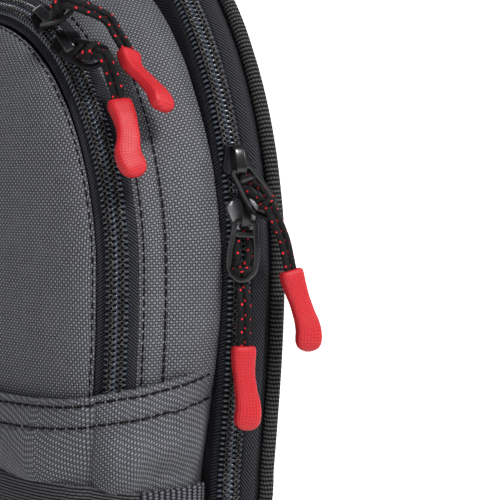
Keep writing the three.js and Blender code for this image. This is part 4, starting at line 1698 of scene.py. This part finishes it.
@dataclass(frozen=True)
class ZipChain:
    """A closed coil zip along an arch: two rows of coils, their sewing and the tape."""

    sizes: PackSizes
    form: Form
    y: float
    end_level: float
    name: str
    coil_node: str
    tape_node: str
    tape_half: float
    spread: float = 1.0
    dip: float = 0.0
    pitch: float = 1.78
    tape_columns: int = 360
    tape_rows: int = 14
    tape_wall: float = 0.8

    @property
    def half(self) -> float:
        """Half the coil's width."""
        return self.sizes.coil_width / 2 * self.spread

    @cached_property
    def span(self) -> Spot:
        """The shares where the zip starts on the right and ends on the left."""
        start = self.form.at(self.y).share_at(self.end_level)
        return start, 1.0 - start

    def tooth(self, side: float) -> bmesh.types.BMesh:
        """One turn of the coil on one side, with its head past the middle."""
        rise = self.sizes.coil_rise
        route = (
            (0.93, -0.30, 0.05), (1.02, -0.22, 0.42), (0.90, -0.10, 0.78), (0.50, 0.02, 0.90),
            (0.10, 0.12, 0.98), (-0.13, 0.18, 0.78), (-0.15, 0.20, 0.35),
        )
        path = [Vector((side * self.half * x, slope, rise * z)) for x, slope, z in route]
        bm = bmesh.new()
        widths = (1.0, 1.2, 1.16, 0.95, 1.3, 1.3, 0.8)

        def section(share: float) -> list[Spot]:
            """The wire's section, flattened at its head."""
            return superellipse(widths[round(share * (len(widths) - 1))], 0.9, 2.0, 7)

        sweep(bm, path, section, UP)
        return bm

    def build(self, wardrobe: Wardrobe) -> None:
        """Makes the zip's three pieces."""
        start, end = self.span
        shares = even_shares(self.form, self.y, start, end, self.pitch)
        late = even_shares(self.form, self.y, start + (shares[1] - shares[0]) / 2, end, self.pitch)
        right = [self.form.frame(share, self.y, 0.35) for share in shares]
        left = [self.form.frame(share, self.y, 0.35) for share in late]
        bm = scatter(self.tooth(1.0), right)
        other = scatter(self.tooth(-1.0), left)
        bare = bpy.data.meshes.new("coil_half")
        other.to_mesh(bare)
        other.free()
        bm.from_mesh(bare)
        bpy.data.meshes.remove(bare)
        finish(bm, f"{self.name}_coil", wardrobe.coil, Slot.ZIP_COIL, [self.coil_node])
        thread = bmesh.new()
        turns = [2 * math.pi * k / 10 for k in range(10)]
        rounds = [(math.cos(turn), math.sin(turn)) for turn in turns]
        path = [Vector((0.74 * c, 0.72 * s + 0.12 * c, 0.16 * s)) for c, s in rounds]
        sweep(thread, [*path, path[0]], lambda s: superellipse(0.4, 0.36, 2.0, 5), UP, True)
        high = self.sizes.coil_rise + 0.5
        offset = self.half * 0.52
        mirror = Matrix.Diagonal((-1.0, 1.0, 1.0, 1.0))
        places = [matrix @ Matrix.Translation((offset, 0.0, high)) for matrix in right]
        places += [matrix @ Matrix.Translation((-offset, 0.0, high)) @ mirror for matrix in left]
        sewn = scatter(thread, places)
        bmesh.ops.recalc_face_normals(sewn, faces=sewn.faces)
        finish(sewn, f"{self.name}_coil_thread", wardrobe.coil_thread, Slot.ZIP_COIL)
        self.sewing(wardrobe, offset)
        self.tape(wardrobe)

    def sewing(self, wardrobe: Wardrobe, offset: float) -> None:
        """Makes the dark band of sewing that covers the middle of each row of turns.

        Args:
            wardrobe: The finishes.
            offset: How far each band's middle is from the zip's.
        """
        shares = even_shares(self.form, self.y, *self.span, 2.2)
        frames = [self.form.frame(share, self.y) for share in shares]
        bm = bmesh.new()
        for side in (-1.0, 1.0):
            spot = Vector((side * offset, 0.0, self.sizes.coil_rise + 0.25))
            path = [frame_ @ spot for frame_ in frames]
            sweep(bm, path, lambda s: superellipse(0.9, self.half * 0.5, 2.6, 8), BACK)
        finish(bm, f"{self.name}_coil_sewing", wardrobe.coil_sewing, Slot.ZIP_COIL)

    def tape(self, wardrobe: Wardrobe) -> None:
        """Makes the twill tape under the coil."""
        start, end = self.span
        columns = self.tape_columns
        frames = [self.form.frame(start + (end - start) * k / columns, self.y) for k in range(columns + 1)]
        run = running([matrix.translation for matrix in frames])

        def place(u: float, v: float) -> Vector:
            """The tape's surface, with an edge that is rolled over its cord."""
            x = (v * 2.0 - 1.0) * self.tape_half
            k = round(u * columns)
            high = 0.35 + 0.18 * math.cos(x / self.tape_half * math.pi)
            high -= self.dip * min(max((-x - self.half) / (self.tape_half - self.half), 0.0), 1.0)
            soft = 0.12 * ripple(frames[k].translation + Vector((0.0, x, 0.0)), 9.0, 4.0)
            return frames[k] @ Vector((x, 0.0, high + soft))

        def measure(u: float, v: float, point: Vector) -> Spot:
            """The tape's lengths from its middle."""
            return (v * 2.0 - 1.0) * self.tape_half, run[round(u * columns)]

        Cloth(
            f"{self.name}_tape", wardrobe.tape, Slot.ZIP_TAPE, [self.tape_node], self.tape_wall,
            columns, self.tape_rows, (0.0, self.y + 6.0, 80.0), closed=False,
        ).lay(place, measure)


# The zip pulls


@dataclass(frozen=True)
class PullPlan:
    """Where one zip pull sits and how it hangs.

    The routes are in tab lengths from the slider's seat, in the pack's axes.
    """

    name: str
    front: bool
    share: float
    swing: float
    lift: float
    points_up: bool
    bright: bool
    cord: tuple[Point, ...]
    puller: tuple[Point, ...]
    bends: tuple[float, ...] = (0.0, 0.0, 0.0, 0.0, 0.0)
    twist: float = 0.0
    turn: float = 0.0
    under: bool = False


PULLS = (
    PullPlan(
        "main_lower", False, 0.515, -10.0, 2.0, True, True,
        ((0.342, -0.211, -1.498), (0.31, -0.189, -1.866), (0.305, -0.189, -2.187)),
        (
            (0.305, -0.189, -2.208), (0.315, -0.2, -2.556), (0.352, -0.184, -2.924),
            (0.394, -0.168, -3.256), (0.384, -0.216, -3.603),
        ),
        twist=-25.0,
        under=True,
    ),
    PullPlan(
        "main_upper", False, 0.583, 16.0, 22.0, False, False,
        ((0.808, 0.379, -1.287), (0.818, 0.447, -1.519), (0.829, 0.5, -1.75)),
        (
            (0.829, 0.511, -1.803), (0.887, 0.579, -2.119), (0.966, 0.668, -2.472),
            (1.039, 0.737, -2.824), (1.039, 0.716, -3.182),
        ),
    ),
    PullPlan(
        "front_lower", True, 0.801, 22.0, 14.0, True, False,
        ((1.186, 0.105, -0.564), (1.254, 0.126, -0.764), (1.307, 0.132, -0.943)),
        (
            (1.323, 0.126, -0.98), (1.481, 0.079, -1.217), (1.644, 0.047, -1.48),
            (1.797, 0.042, -1.759), (1.918, 0.042, -2.038),
        ),
        bends=(0.0, 0.9, 0.5, -1.3, 0.4),
        turn=-30.0,
    ),
    PullPlan(
        "front_upper", True, 0.845, 22.0, 26.0, False, False,
        ((1.357, 0.311, -0.036), (1.541, 0.432, -0.331), (1.71, 0.516, -0.605)),
        (
            (1.736, 0.516, -0.642), (1.941, 0.542, -0.857), (2.152, 0.574, -1.068),
            (2.341, 0.579, -1.278), (2.541, 0.637, -1.494),
        ),
        bends=(0.0, -1.7, -0.6, 0.7, -1.5),
        turn=-62.0,
    ),
)


@dataclass(frozen=True)
class PullSizes:
    """The sizes that the four pulls share."""

    slider_length: float = 11.0
    slider_width: float = 10.8
    slider_thickness: float = 2.2
    bridge_rise: float = 2.3
    bridge_width: float = 3.5
    bar_place: float = 0.28
    tab_length: float = 19.0
    tab_reach: float = 19.6
    tab_width: float = 10.6
    tab_rim: float = 1.9
    crossbar: float = 0.21
    knot_share: float = 0.76
    knot: float = 5.8
    cord: float = 2.2
    puller_length: float = 27.0
    puller_width: float = 8.4
    puller_thickness: float = 5.0
    bend_way: Point = (0.636, 0.772, 0.0)


@dataclass(frozen=True)
class ZipPull:
    """A slider with its tab, the flecked cord looped through it and the rubber puller."""

    sizes: PackSizes
    plan: PullPlan
    pull: PullSizes

    @cached_property
    def zip_frame(self) -> Matrix:
        """The zip's frame at the slider: x to the back, y up the arch and z outwards."""
        sizes = self.sizes
        form, y, height = sizes.main, sizes.main_zip_y, sizes.height
        if self.plan.front:
            form, y, height = sizes.slope, sizes.front_zip_y, sizes.pocket_height
        share = form.at(y).share_at(self.plan.share * height)
        frame_ = form.frame(share, y)
        out = frame_.col[2].to_3d()
        radial = Vector((out.x, 0.0, out.z)).normalized()
        frame_.translation += radial * (sizes.coil_rise + 2 * GAP)
        return frame_

    @cached_property
    def tab_frame(self) -> Matrix:
        """The tab's frame: x to its side, y up to the bridge and z off its face."""
        across, along, out = (self.zip_frame.col[k].to_3d() for k in range(3))
        turn, rise = math.radians(self.plan.swing), math.radians(self.plan.lift)
        flat = across * math.sin(turn) - along * math.cos(turn)
        down = flat * math.cos(rise) + out * math.sin(rise)
        side = out.cross(down).normalized()
        stand = self.pull.slider_thickness + self.pull.bridge_rise * 0.4
        pivot = self.zip_frame.translation + out * stand
        pivot -= along * self.pull.slider_length * self.pull.bar_place
        twist = Matrix.Rotation(math.radians(self.plan.twist), 4, "Y")
        return axes(side, -down, down.cross(side), pivot) @ twist

    def route(self, shares: Sequence[Point]) -> list[Vector]:
        """Points in millimetres from a route in tab lengths."""
        seat = self.zip_frame.translation
        return [seat + Vector(share) * self.pull.tab_length for share in shares]

    def slider(self) -> bmesh.types.BMesh:
        """The slider: a rounded plate with a raised, inset lid and soft edges."""
        pull = self.pull
        half, long = pull.slider_width / 2, pull.slider_length / 2
        way = 1.0 if self.plan.points_up else -1.0
        right = [
            (0.60, -1.0), (0.72, -0.5), (0.92, 0.05), (1.0, 0.32), (0.94, 0.55), (0.62, 0.80), (0.16, 0.99),
        ]
        outline = [(-0.60, -1.0), *right, *((-x, y) for x, y in reversed(right[1:]))]
        bm = bmesh.new()
        verts = [bm.verts.new((x * half, y * long * way, -0.2)) for x, y in outline]
        face = bm.faces.new(verts)
        risen = bmesh.ops.extrude_face_region(bm, geom=[face])["geom"]
        raised = [g for g in risen if isinstance(g, bmesh.types.BMVert)]
        bmesh.ops.translate(bm, vec=Vector((0.0, 0.0, pull.slider_thickness - 0.1)), verts=raised)
        lid = [g for g in risen if isinstance(g, bmesh.types.BMFace)]
        bmesh.ops.inset_region(bm, faces=lid, thickness=0.8, depth=0.3)
        bmesh.ops.recalc_face_normals(bm, faces=bm.faces)
        edges = [edge for edge in bm.edges if edge.calc_face_angle(0.0) > 0.9]
        bmesh.ops.bevel(bm, geom=edges, affect="EDGES", offset=0.3, segments=3, profile=0.5, material=-1)
        return bm

    def bridge(self) -> bmesh.types.BMesh:
        """The bridge over the slider, which holds the tab."""
        pull = self.pull
        long = pull.slider_length / 2
        top = pull.slider_thickness
        half = ((-0.84, -0.25), (-0.82, 0.25), (-0.72, 0.62), (-0.45, 0.86))
        arch = [*half, (0.0, 0.93), *((-y, z) for y, z in reversed(half))]
        fine = smooth_path([Vector((0.0, y * long, top + z * pull.bridge_rise)) for y, z in arch], 28)
        bm = bmesh.new()

        def strap(share: float) -> list[Spot]:
            """The bridge's section, wider at its feet."""
            return superellipse(pull.bridge_width + 0.7 * abs(share * 2 - 1) ** 4, 1.15, 4.0, 24)

        sweep(bm, fine, strap, Vector((0.0, 0.31, 1.0)).normalized())
        return bm

    def tab(self) -> bmesh.types.BMesh:
        """The tab: an oval ring with a crossbar."""
        pull = self.pull
        half, long, rim = pull.tab_width / 2, pull.tab_reach, pull.tab_rim
        corners = [
            (0.0, 0.2), (0.55, 0.2), (0.76, -0.8), (0.82, -0.2 * long), (0.97, -0.5 * long),
            (0.93, -0.76 * long), (0.52, -0.95 * long), (0.0, -long),
        ]
        raised = [(x, min(y, 0.0) + (rim / 2 if y < -long * 0.9 else 0.0)) for x, y in corners]
        ring = [Vector((x * (half - rim / 2), y, 0.0)) for x, y in raised]
        ring += [Vector((-p.x, p.y, p.z)) for p in reversed(ring[1:-1])]
        loop = smooth_path([ring[-1], *ring, ring[0], ring[1]], 132)
        start = next(k for k, p in enumerate(loop) if p.x >= 0.0 and p.y > -1.0)
        end = max(k for k, p in enumerate(loop) if p.x < 0.0 and p.y > -1.0)
        closed = loop[start : end + 1]
        bm = bmesh.new()
        sweep(bm, closed, lambda s: superellipse(rim, 1.3, 3.4, 16), UP, True)
        level = -long * pull.crossbar
        reach = half * 0.8 - rim / 2
        bar = [Vector((x * reach, level, 0.0)) for x in (-1.0, -0.5, 0.0, 0.5, 1.0)]
        sweep(bm, bar, lambda s: superellipse(1.9, 1.2, 3.4, 16), UP)
        return bm

    @property
    def knot_stand(self) -> float:
        """How far the knot's middle stands off the tab's face."""
        return 1.5 if self.plan.under else self.pull.knot / 2 + 0.5

    @property
    def tab_axes(self) -> tuple[Vector, Vector, Vector]:
        """The tab's three ways: to its side, up to the bridge and off its face."""
        return tuple(self.tab_frame.col[k].to_3d() for k in range(3))

    @property
    def lump(self) -> Vector:
        """The knot's middle."""
        _, up, face = self.tab_axes
        low = up * (self.pull.tab_reach * self.pull.knot_share)
        return self.tab_frame.translation - low + face * self.knot_stand

    def cord_path(self) -> list[Vector]:
        """The cord's centreline, from the puller up through the tab and back."""
        pull = self.pull
        side, up, face = self.tab_axes
        down, pivot = -up, self.tab_frame.translation
        bar = pivot + down * (pull.tab_reach * pull.crossbar)
        lump = self.lump
        over = pivot + down * (pull.tab_reach + pull.cord / 2) + face * (pull.cord / 2 + 1.0)
        if self.plan.under:
            over = pivot + down * (pull.tab_reach - pull.tab_rim / 2) - face * (pull.cord / 2 + 0.75)
        points = self.route(self.plan.cord)
        way = (points[-1] - lump).normalized()
        wide = way.cross(face).normalized() * -1.0
        first = lump + (over - lump).normalized() * 3.4
        mouth = self.route(self.plan.puller)[:2]
        inside = mouth[0] + (mouth[1] - mouth[0]).normalized() * 2.4
        strand = [inside, *reversed(points), over, first]
        spread = pull.cord / 2 + 0.03
        right = [p + wide * spread for p in strand]
        left = [p - wide * spread for p in reversed(strand)]
        near = bar + down * 6.4 + face * self.knot_stand * 0.5
        loop = [
            lump + side * 0.95 - face * 0.3,
            near + side * 2.0,
            bar + down * 1.2 + side * 1.7 - face * 1.3,
            bar - down * 1.9 + side * 0.3 - face * 1.2,
            bar + down * 1.2 - side * 1.7 - face * 1.5,
            near - side * 2.0,
            lump - side * 0.95 - face * 0.3,
        ]
        return smooth_path([*right, *loop, *left], 190)

    def wrap_path(self) -> list[Vector]:
        """The short wrap that ties the cord's two strands."""
        side, up, face = self.tab_axes
        path = []
        for k in range(61):
            turn = 2 * math.pi * (k / 60 * 1.25) + 2.2
            shift = (k / 60 - 0.5) * 2.6 + 0.5 * math.sin(turn)
            path.append(self.lump + side * math.cos(turn) * 2.45 + face * math.sin(turn) * 1.9 - up * shift)
        return path

    def puller(self) -> bmesh.types.BMesh:
        """The rubber puller, waisted and bent along its route."""
        pull = self.pull
        rough = smooth_path(self.route(self.plan.puller), 60)
        run = running(rough)[-1]
        start = rough[0]
        bent = smooth_path([Vector((k * 7.0, bend, 0.0)) for k, bend in enumerate(self.plan.bends)], 60)
        path = [start + (p - start) * (pull.puller_length / run) for p in rough]
        path = [p + Vector(pull.bend_way) * bend.y for p, bend in zip(path, bent)]
        rows = (
            (0.0, 0.74, 0.6), (0.012, 0.88, 0.80), (0.03, 0.93, 0.92), (0.08, 0.94, 0.98), (0.2, 0.89, 0.92),
            (0.38, 0.82, 0.80), (0.55, 0.86, 0.80), (0.7, 0.97, 0.90), (0.82, 1.03, 0.94), (0.89, 1.01, 0.88),
            (0.94, 0.88, 0.72), (0.975, 0.66, 0.52), (0.993, 0.40, 0.32), (1.0, 0.2, 0.16),
        )

        def section(share: float) -> list[Spot]:
            """The puller's section at a share of its length."""
            k = next((i for i in range(len(rows) - 1) if share <= rows[i + 1][0]), len(rows) - 2)
            a, b = rows[k], rows[k + 1]
            t = (share - a[0]) / (b[0] - a[0])
            t = t * t * (3 - 2 * t) * 0.5 + t * 0.5
            wide = a[1] + (b[1] - a[1]) * t
            thick = a[2] + (b[2] - a[2]) * t
            return superellipse(wide * pull.puller_width, thick * pull.puller_thickness, 3.6, 40)

        way = (path[-1] - path[0]).normalized()
        facing = Matrix.Rotation(math.radians(self.plan.turn), 3, way) @ self.zip_frame.col[2].to_3d()
        bm = bmesh.new()
        sweep(bm, path, section, facing)
        return bm

    def build(self, wardrobe: Wardrobe) -> None:
        """Makes the pull's pieces."""
        name, diameter = self.plan.name, self.pull.cord
        metal = wardrobe.bright_metal if self.plan.bright else wardrobe.matt_metal
        ring = wardrobe.ring_metal if self.plan.bright else wardrobe.matt_metal
        for bm, matrix, part, material, nodes in (
            (self.slider(), self.zip_frame, "slider_body", metal, [f"{name}_slider"]),
            (self.bridge(), self.zip_frame, "bridge", wardrobe.bridge_metal, []),
            (self.tab(), self.tab_frame, "tab_ring", ring, [f"{name}_tab"]),
        ):
            bmesh.ops.transform(bm, matrix=matrix, verts=bm.verts)
            finish(bm, f"{name}_{part}", material, Slot.HARDWARE, nodes)
        grip = finish(self.puller(), f"{name}_grip", wardrobe.rubber, Slot.RUBBER, [f"{name}_puller"])
        bm = bmesh.new()
        sweep(bm, self.wrap_path(), lambda s: superellipse(diameter - 0.3, diameter - 0.3, 2.0, 12))
        wrap = finish(bm, f"{name}_wrap", wardrobe.cord, Slot.CORD, [f"{name}_knot"])
        path = self.cord_path()
        bm = bmesh.new()
        sweep(bm, path, lambda s: superellipse(diameter, diameter, 2.0, 14))
        loop = finish(bm, f"{name}_loop", wardrobe.cord, Slot.CORD, [f"{name}_cord_a", f"{name}_cord_b"])
        length = running(path)[-1]
        LOG.info("%s_loop: %.1f mm long", name, length)
        path[0] * MM
        diameter * MM
        [point * MM for point in path]


# The back and the harness


@dataclass(frozen=True)
class BackPad:
    """The padded panel on the pack's back, with sewn channels."""

    sizes: PackSizes
    thickness: float = 8.0
    margin: float = 16.0
    channels: tuple[float, ...] = (72.0, 128.0, 180.0)
    columns: int = 300
    rows: int = 44
    wall: float = 1.2
    centre: float = 116.0
    rim: float = 9.0
    rim_share: float = 0.3

    def place(self, share: float, v: float) -> Vector:
        """The pad's surface, from its sewn edge at 0 to its middle at 1."""
        back = self.sizes.back_y
        centre = Vector((0.0, 0.0, self.centre))
        if v < self.rim_share:
            turn = v / self.rim_share * math.pi / 2
            inset = self.margin + self.rim * (1.0 - math.cos(turn))
            depth = self.thickness * 0.94 * math.sin(turn) ** 0.8
            edge = self.sizes.main.place(share, back, -inset)
            point = Vector((edge.x, back + 0.1 + depth, edge.z))
        else:
            edge = self.sizes.main.place(share, back, -self.margin - self.rim)
            inward = 1.0 - (v - self.rim_share) / (1.0 - self.rim_share)
            flat = Vector((edge.x, 0.0, edge.z))
            point = centre + (flat - centre) * inward
            point.y = back + 0.1 + self.thickness * (0.94 + 0.05 * (1.0 - inward**3))
        share_up = min(v / self.rim_share, 1.0)
        groove = max(ditch(point.z - level, 2.6) for level in self.channels)
        point.y -= groove * 2.6 * share_up * (0.0 if abs(point.x) > 62.0 else 1.0)
        point.y += 0.35 * (ripple(point, 24.0, 12.0) - 0.6) * share_up
        return point

    def build(self, wardrobe: Wardrobe) -> None:
        """Makes the pad and its channel stitches."""
        pad = Cloth(
            "padded_back", wardrobe.mesh, Slot.PAD, ["back_pad"], self.wall,
            self.columns, self.rows, (0.0, 30.0, self.centre),
        ).lay(self.place, lambda u, v, p: (p.x + p.y, p.z))
        row = StitchRow()
        top = self.sizes.back_y + self.thickness - 2.3
        frames = []
        for level in self.channels:
            frames += stitch_frames(
                lambda s, level=level: Vector((-58.0 + 116.0 * s, top, level)), lambda s: BACK, row.pitch
            )
        row.build("padded_back_stitches", frames, wardrobe.coil_thread, Slot.PAD)


@dataclass(frozen=True)
class ShoulderStrap:
    """One padded shoulder strap laid flat on the back, with its adjuster and its webbing."""

    sizes: PackSizes
    sign: float
    label: str
    width: float = 44.0
    thickness: float = 5.5
    top: float = 196.0
    end: float = 92.0
    spread: float = 27.0
    foot_spread: float = 58.0
    foot: float = 27.0
    lie: float = 52.3
    web_top: float = 73.4
    web_width: float = 25.0
    lock_top: float = 91.6
    lock_foot: float = 73.8
    lock_half: float = 14.0

    def middle(self, level: float, depth: float) -> Vector:
        """The strap's middle line at a level and a depth."""
        share = (self.top - level) / (self.top - self.foot)
        x = self.spread + (self.foot_spread - self.spread) * share
        return Vector((self.sign * x, self.lie + depth, level))

    def line(self, high: float, low: float, depth: float, steps: int) -> list[Vector]:
        """Even points down the middle line."""
        return [self.middle(high + (low - high) * k / steps, depth) for k in range(steps + 1)]

    def build(self, wardrobe: Wardrobe) -> None:
        """Makes the strap's pieces."""
        path = self.line(self.top, self.end, self.thickness / 2, 64)

        def pad(share: float) -> list[Spot]:
            """The pad's section, thinner and narrower at its two ends."""
            ends = min(share, 1.0 - share) * (self.top - self.end)
            close = 1.0 - max(0.0, 1.0 - ends / 6.0) ** 2 * 0.28
            swell = 1.0 - 0.12 * max(0.0, 1.0 - ends / 3.0)
            return superellipse(self.width * close, self.thickness * swell, 3.4, 56)

        bm = bmesh.new()
        sweep(bm, path, pad, BACK)
        nodes = [f"shoulder_pad_{self.label}"]
        strap = finish(bm, f"shoulder_strap_{self.label}", wardrobe.mesh, Slot.PAD, nodes)
        row = StitchRow()
        frames = []
        ahead = (path[-1] - path[0]).normalized()
        side = BACK.cross(ahead)
        for sign in (-1.0, 1.0):
            offset = side * sign * (self.width / 2 - 4.5) + BACK * (self.thickness / 2 - 0.05)
            frames += stitch_frames(
                lambda s, o=offset: path[0].lerp(path[-1], 0.04 + 0.92 * s) + o, lambda s: BACK, row.pitch
            )
        row.build(f"shoulder_strap_{self.label}_stitches", frames, wardrobe.coil_thread, Slot.PAD)
        self.adjuster(wardrobe)
        steps = 120
        web = self.line(self.web_top, self.foot, 0.8, steps)

        def ribbed(share: float) -> list[Spot]:
            """The webbing's section, thicker on its ribs."""
            return superellipse(self.web_width, 1.5 + 0.16 * math.sin(share * steps * math.pi / 2), 5.0, 32)

        bm = bmesh.new()
        sweep(bm, web, ribbed, BACK)
        name = f"lower_strap_{self.label}"
        finish(bm, name, wardrobe.web_black, Slot.BLACK_WEBBING, [f"lower_webbing_{self.label}"])

    def adjuster(self, wardrobe: Wardrobe) -> None:
        """Makes the ladder-lock adjuster: a frame with two crossbars and a thumb lip."""
        high, low, half = self.lock_top, self.lock_foot, self.lock_half
        ahead = (self.middle(low, 0.0) - self.middle(high, 0.0)).normalized()
        side = BACK.cross(ahead)
        centre = self.middle((high + low) / 2, 2.0)
        long = (high - low) / 2 - 1.7
        corners = superellipse(half * 2, long * 2, 7.0, 48)
        loop = [centre + side * x + ahead * y for x, y in corners]
        bm = bmesh.new()
        sweep(bm, [*loop, loop[0]], lambda s: superellipse(3.2, 3.6, 3.2, 16), BACK, True)
        for share, wide, thick in ((-0.28, 3.4, 2.6), (0.38, 2.8, 3.2), (0.86, 4.4, 3.0)):
            spot = centre + ahead * (long * share)
            bar = [spot + side * (x * half) for x in (-0.97, -0.5, 0.0, 0.5, 0.97)]
            sweep(bm, bar, lambda s, w=wide, t=thick: superellipse(w, t, 3.0, 16), BACK)
        name = f"ladder_lock_{self.label}"
        finish(bm, name, wardrobe.plastic, Slot.BUCKLE, [f"strap_adjuster_{self.label}"])


# The studio


@dataclass(frozen=True)
class Studio:
    """The camera at the photograph's angle, the pale floor and the soft lights."""

    azimuth: float = 50.5
    elevation: float = 3.0
    distance: float = 0.400
    target: Point = (0.0978, 0.0281, 0.1095)
    lens: float = 89.28
    shift: float = 0.0144
    sensor: float = 36.0
    world: float = 0.18
    aim: Point = (0.05, 0.0, 0.12)
    floor_size: float = 14.0
    floor_ahead: float = 4.0
    bend: float = 3.0
    radius: float = 2.0
    lights: tuple[tuple[str, Point, float, float], ...] = (
        ("key", (1.15, -0.02, 1.25), 0.45, 36.0),
        ("fill", (0.4, -1.4, 0.6), 0.7, 3.0),
        ("rim", (0.9, 0.9, 0.8), 0.4, 7.0),
    )

    def camera(self) -> None:
        """Makes the camera."""
        a, e = math.radians(self.azimuth), math.radians(self.elevation)
        back = Vector((math.sin(a) * math.cos(e), -math.cos(a) * math.cos(e), math.sin(e)))
        data = bpy.data.cameras.new("photo_camera")
        data.lens = self.lens
        data.sensor_width = self.sensor
        data.shift_x = self.shift
        data.clip_start, data.clip_end = 0.01, 60.0
        made = bpy.data.objects.new("photo_camera", data)
        made.location = Vector(self.target) + back * self.distance
        made.rotation_mode = "QUATERNION"
        made.rotation_quaternion = (-back).to_track_quat("-Z", "Y")
        bpy.context.scene.collection.objects.link(made)
        bpy.context.scene.camera = made

    def floor(self) -> None:
        """Makes the floor, which curves up far behind into a wall."""
        a = math.radians(self.azimuth)
        forward, right = Vector((-math.sin(a), math.cos(a), 0.0)), Vector((math.cos(a), math.sin(a), 0.0))
        bend, radius = self.bend, self.radius

        def place(u: float, v: float) -> Vector:
            """The floor's surface, in metres."""
            run = v * self.floor_size - self.floor_ahead
            turn = min(max((run - bend) / radius, 0.0), math.pi / 2)
            ahead = min(run, bend) + radius * math.sin(turn)
            high = radius * (1.0 - math.cos(turn)) + max(run - bend - radius * math.pi / 2, 0.0)
            return forward * ahead + right * ((u - 0.5) * self.floor_size) + UP * (high - 0.0002)

        bm = bmesh.new()
        patch(bm, 2, 90, place)
        bmesh.ops.recalc_face_normals(bm, faces=bm.faces)
        mesh = bpy.data.meshes.new("studio_floor")
        bm.to_mesh(mesh)
        bm.free()
        mesh.polygons.foreach_set("use_smooth", [True] * len(mesh.polygons))
        mesh.materials.append(Backdrop().material())
        floor = bpy.data.objects.new("studio_floor", mesh)
        bpy.context.scene.collection.objects.link(floor)
        floor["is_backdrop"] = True

    def light(self, name: str, spot: Point, size: float, watts: float) -> None:
        """Adds an area light that looks at the pack.

        Args:
            name: The light's name.
            spot: Its place, in metres.
            size: Its diameter, in metres.
            watts: Its power.
        """
        data = bpy.data.lights.new(name, "AREA")
        data.shape = "DISK"
        data.size = size
        data.energy = watts
        made = bpy.data.objects.new(name, data)
        made.location = spot
        aim = Vector(self.aim) - Vector(spot)
        made.rotation_mode = "QUATERNION"
        made.rotation_quaternion = aim.to_track_quat("-Z", "Y")
        bpy.context.scene.collection.objects.link(made)

    def build(self) -> None:
        """Makes the whole studio."""
        self.camera()
        self.floor()
        world = bpy.data.worlds.new("studio_world")
        world.use_nodes = True
        glow = world.node_tree.nodes["Background"]
        glow.inputs["Color"].default_value = (1.0, 1.0, 1.0, 1.0)
        glow.inputs["Strength"].default_value = self.world
        bpy.context.scene.world = world
        bpy.context.scene.view_settings.view_transform = "Standard"
        for light in self.lights:
            self.light(*light)


def main() -> None:
    """Builds the pack's pieces in order, from the camera and the cords to the harness."""
    logging.basicConfig(level=logging.INFO, format="%(name)s: %(message)s")
    sizes = PackSizes()
    Studio().build()
    wardrobe = Wardrobe()
    for plan in PULLS:
        ZipPull(sizes, plan, PullSizes()).build(wardrobe)
    PocketGusset(sizes).build(wardrobe)
    FrontPanel(sizes).build(wardrobe)
    girdle = Girdle(sizes)
    SlipPocket(sizes, girdle).build(wardrobe)
    front = girdle.share_where(sizes.webbing_level, 1, -3.3)
    WebbingBand(
        sizes, girdle, "front_band", ("front_webbing",), front, 1.0 - front, Slot.BLACK_WEBBING, False,
        rib=1.05, lift=3.5,
    ).build(wardrobe.web_black)
    back_end = girdle.share_where(sizes.webbing_level, 1, 18.7)
    front_end = girdle.share_where(sizes.webbing_level, 1, -3.0)
    for side, start, end in (("right", back_end, front_end), ("left", 1.0 - front_end, 1.0 - back_end)):
        WebbingBand(
            sizes, girdle, f"side_band_{side}", (f"side_webbing_{side}",), start, end, Slot.GREY_WEBBING, True
        ).build(wardrobe.web_grey)
    MainCompartment(sizes).build(wardrobe)
    EdgeBinding(sizes).build(wardrobe)
    ZipChain(
        sizes, sizes.main, sizes.main_zip_y, sizes.zip_end, "main_zip",
        "main_zipper_coil", "main_zipper_tape", 5.4, dip=2.2,
    ).build(wardrobe)
    ZipChain(
        sizes, sizes.slope, sizes.front_zip_y, 48.0, "front_zip",
        "front_zipper_coil", "front_zipper_tape", 6.4, spread=0.9,
    ).build(wardrobe)
    BackPad(sizes).build(wardrobe)
    for sign, label in ((1.0, "right"), (-1.0, "left")):
        ShoulderStrap(sizes, sign, label).build(wardrobe)
    both = {"cad": CAD_BOX, "blender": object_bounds()}
    {key: [list(corner) for corner in box] for key, box in both.items()}


if __name__ == "__main__":
    main()
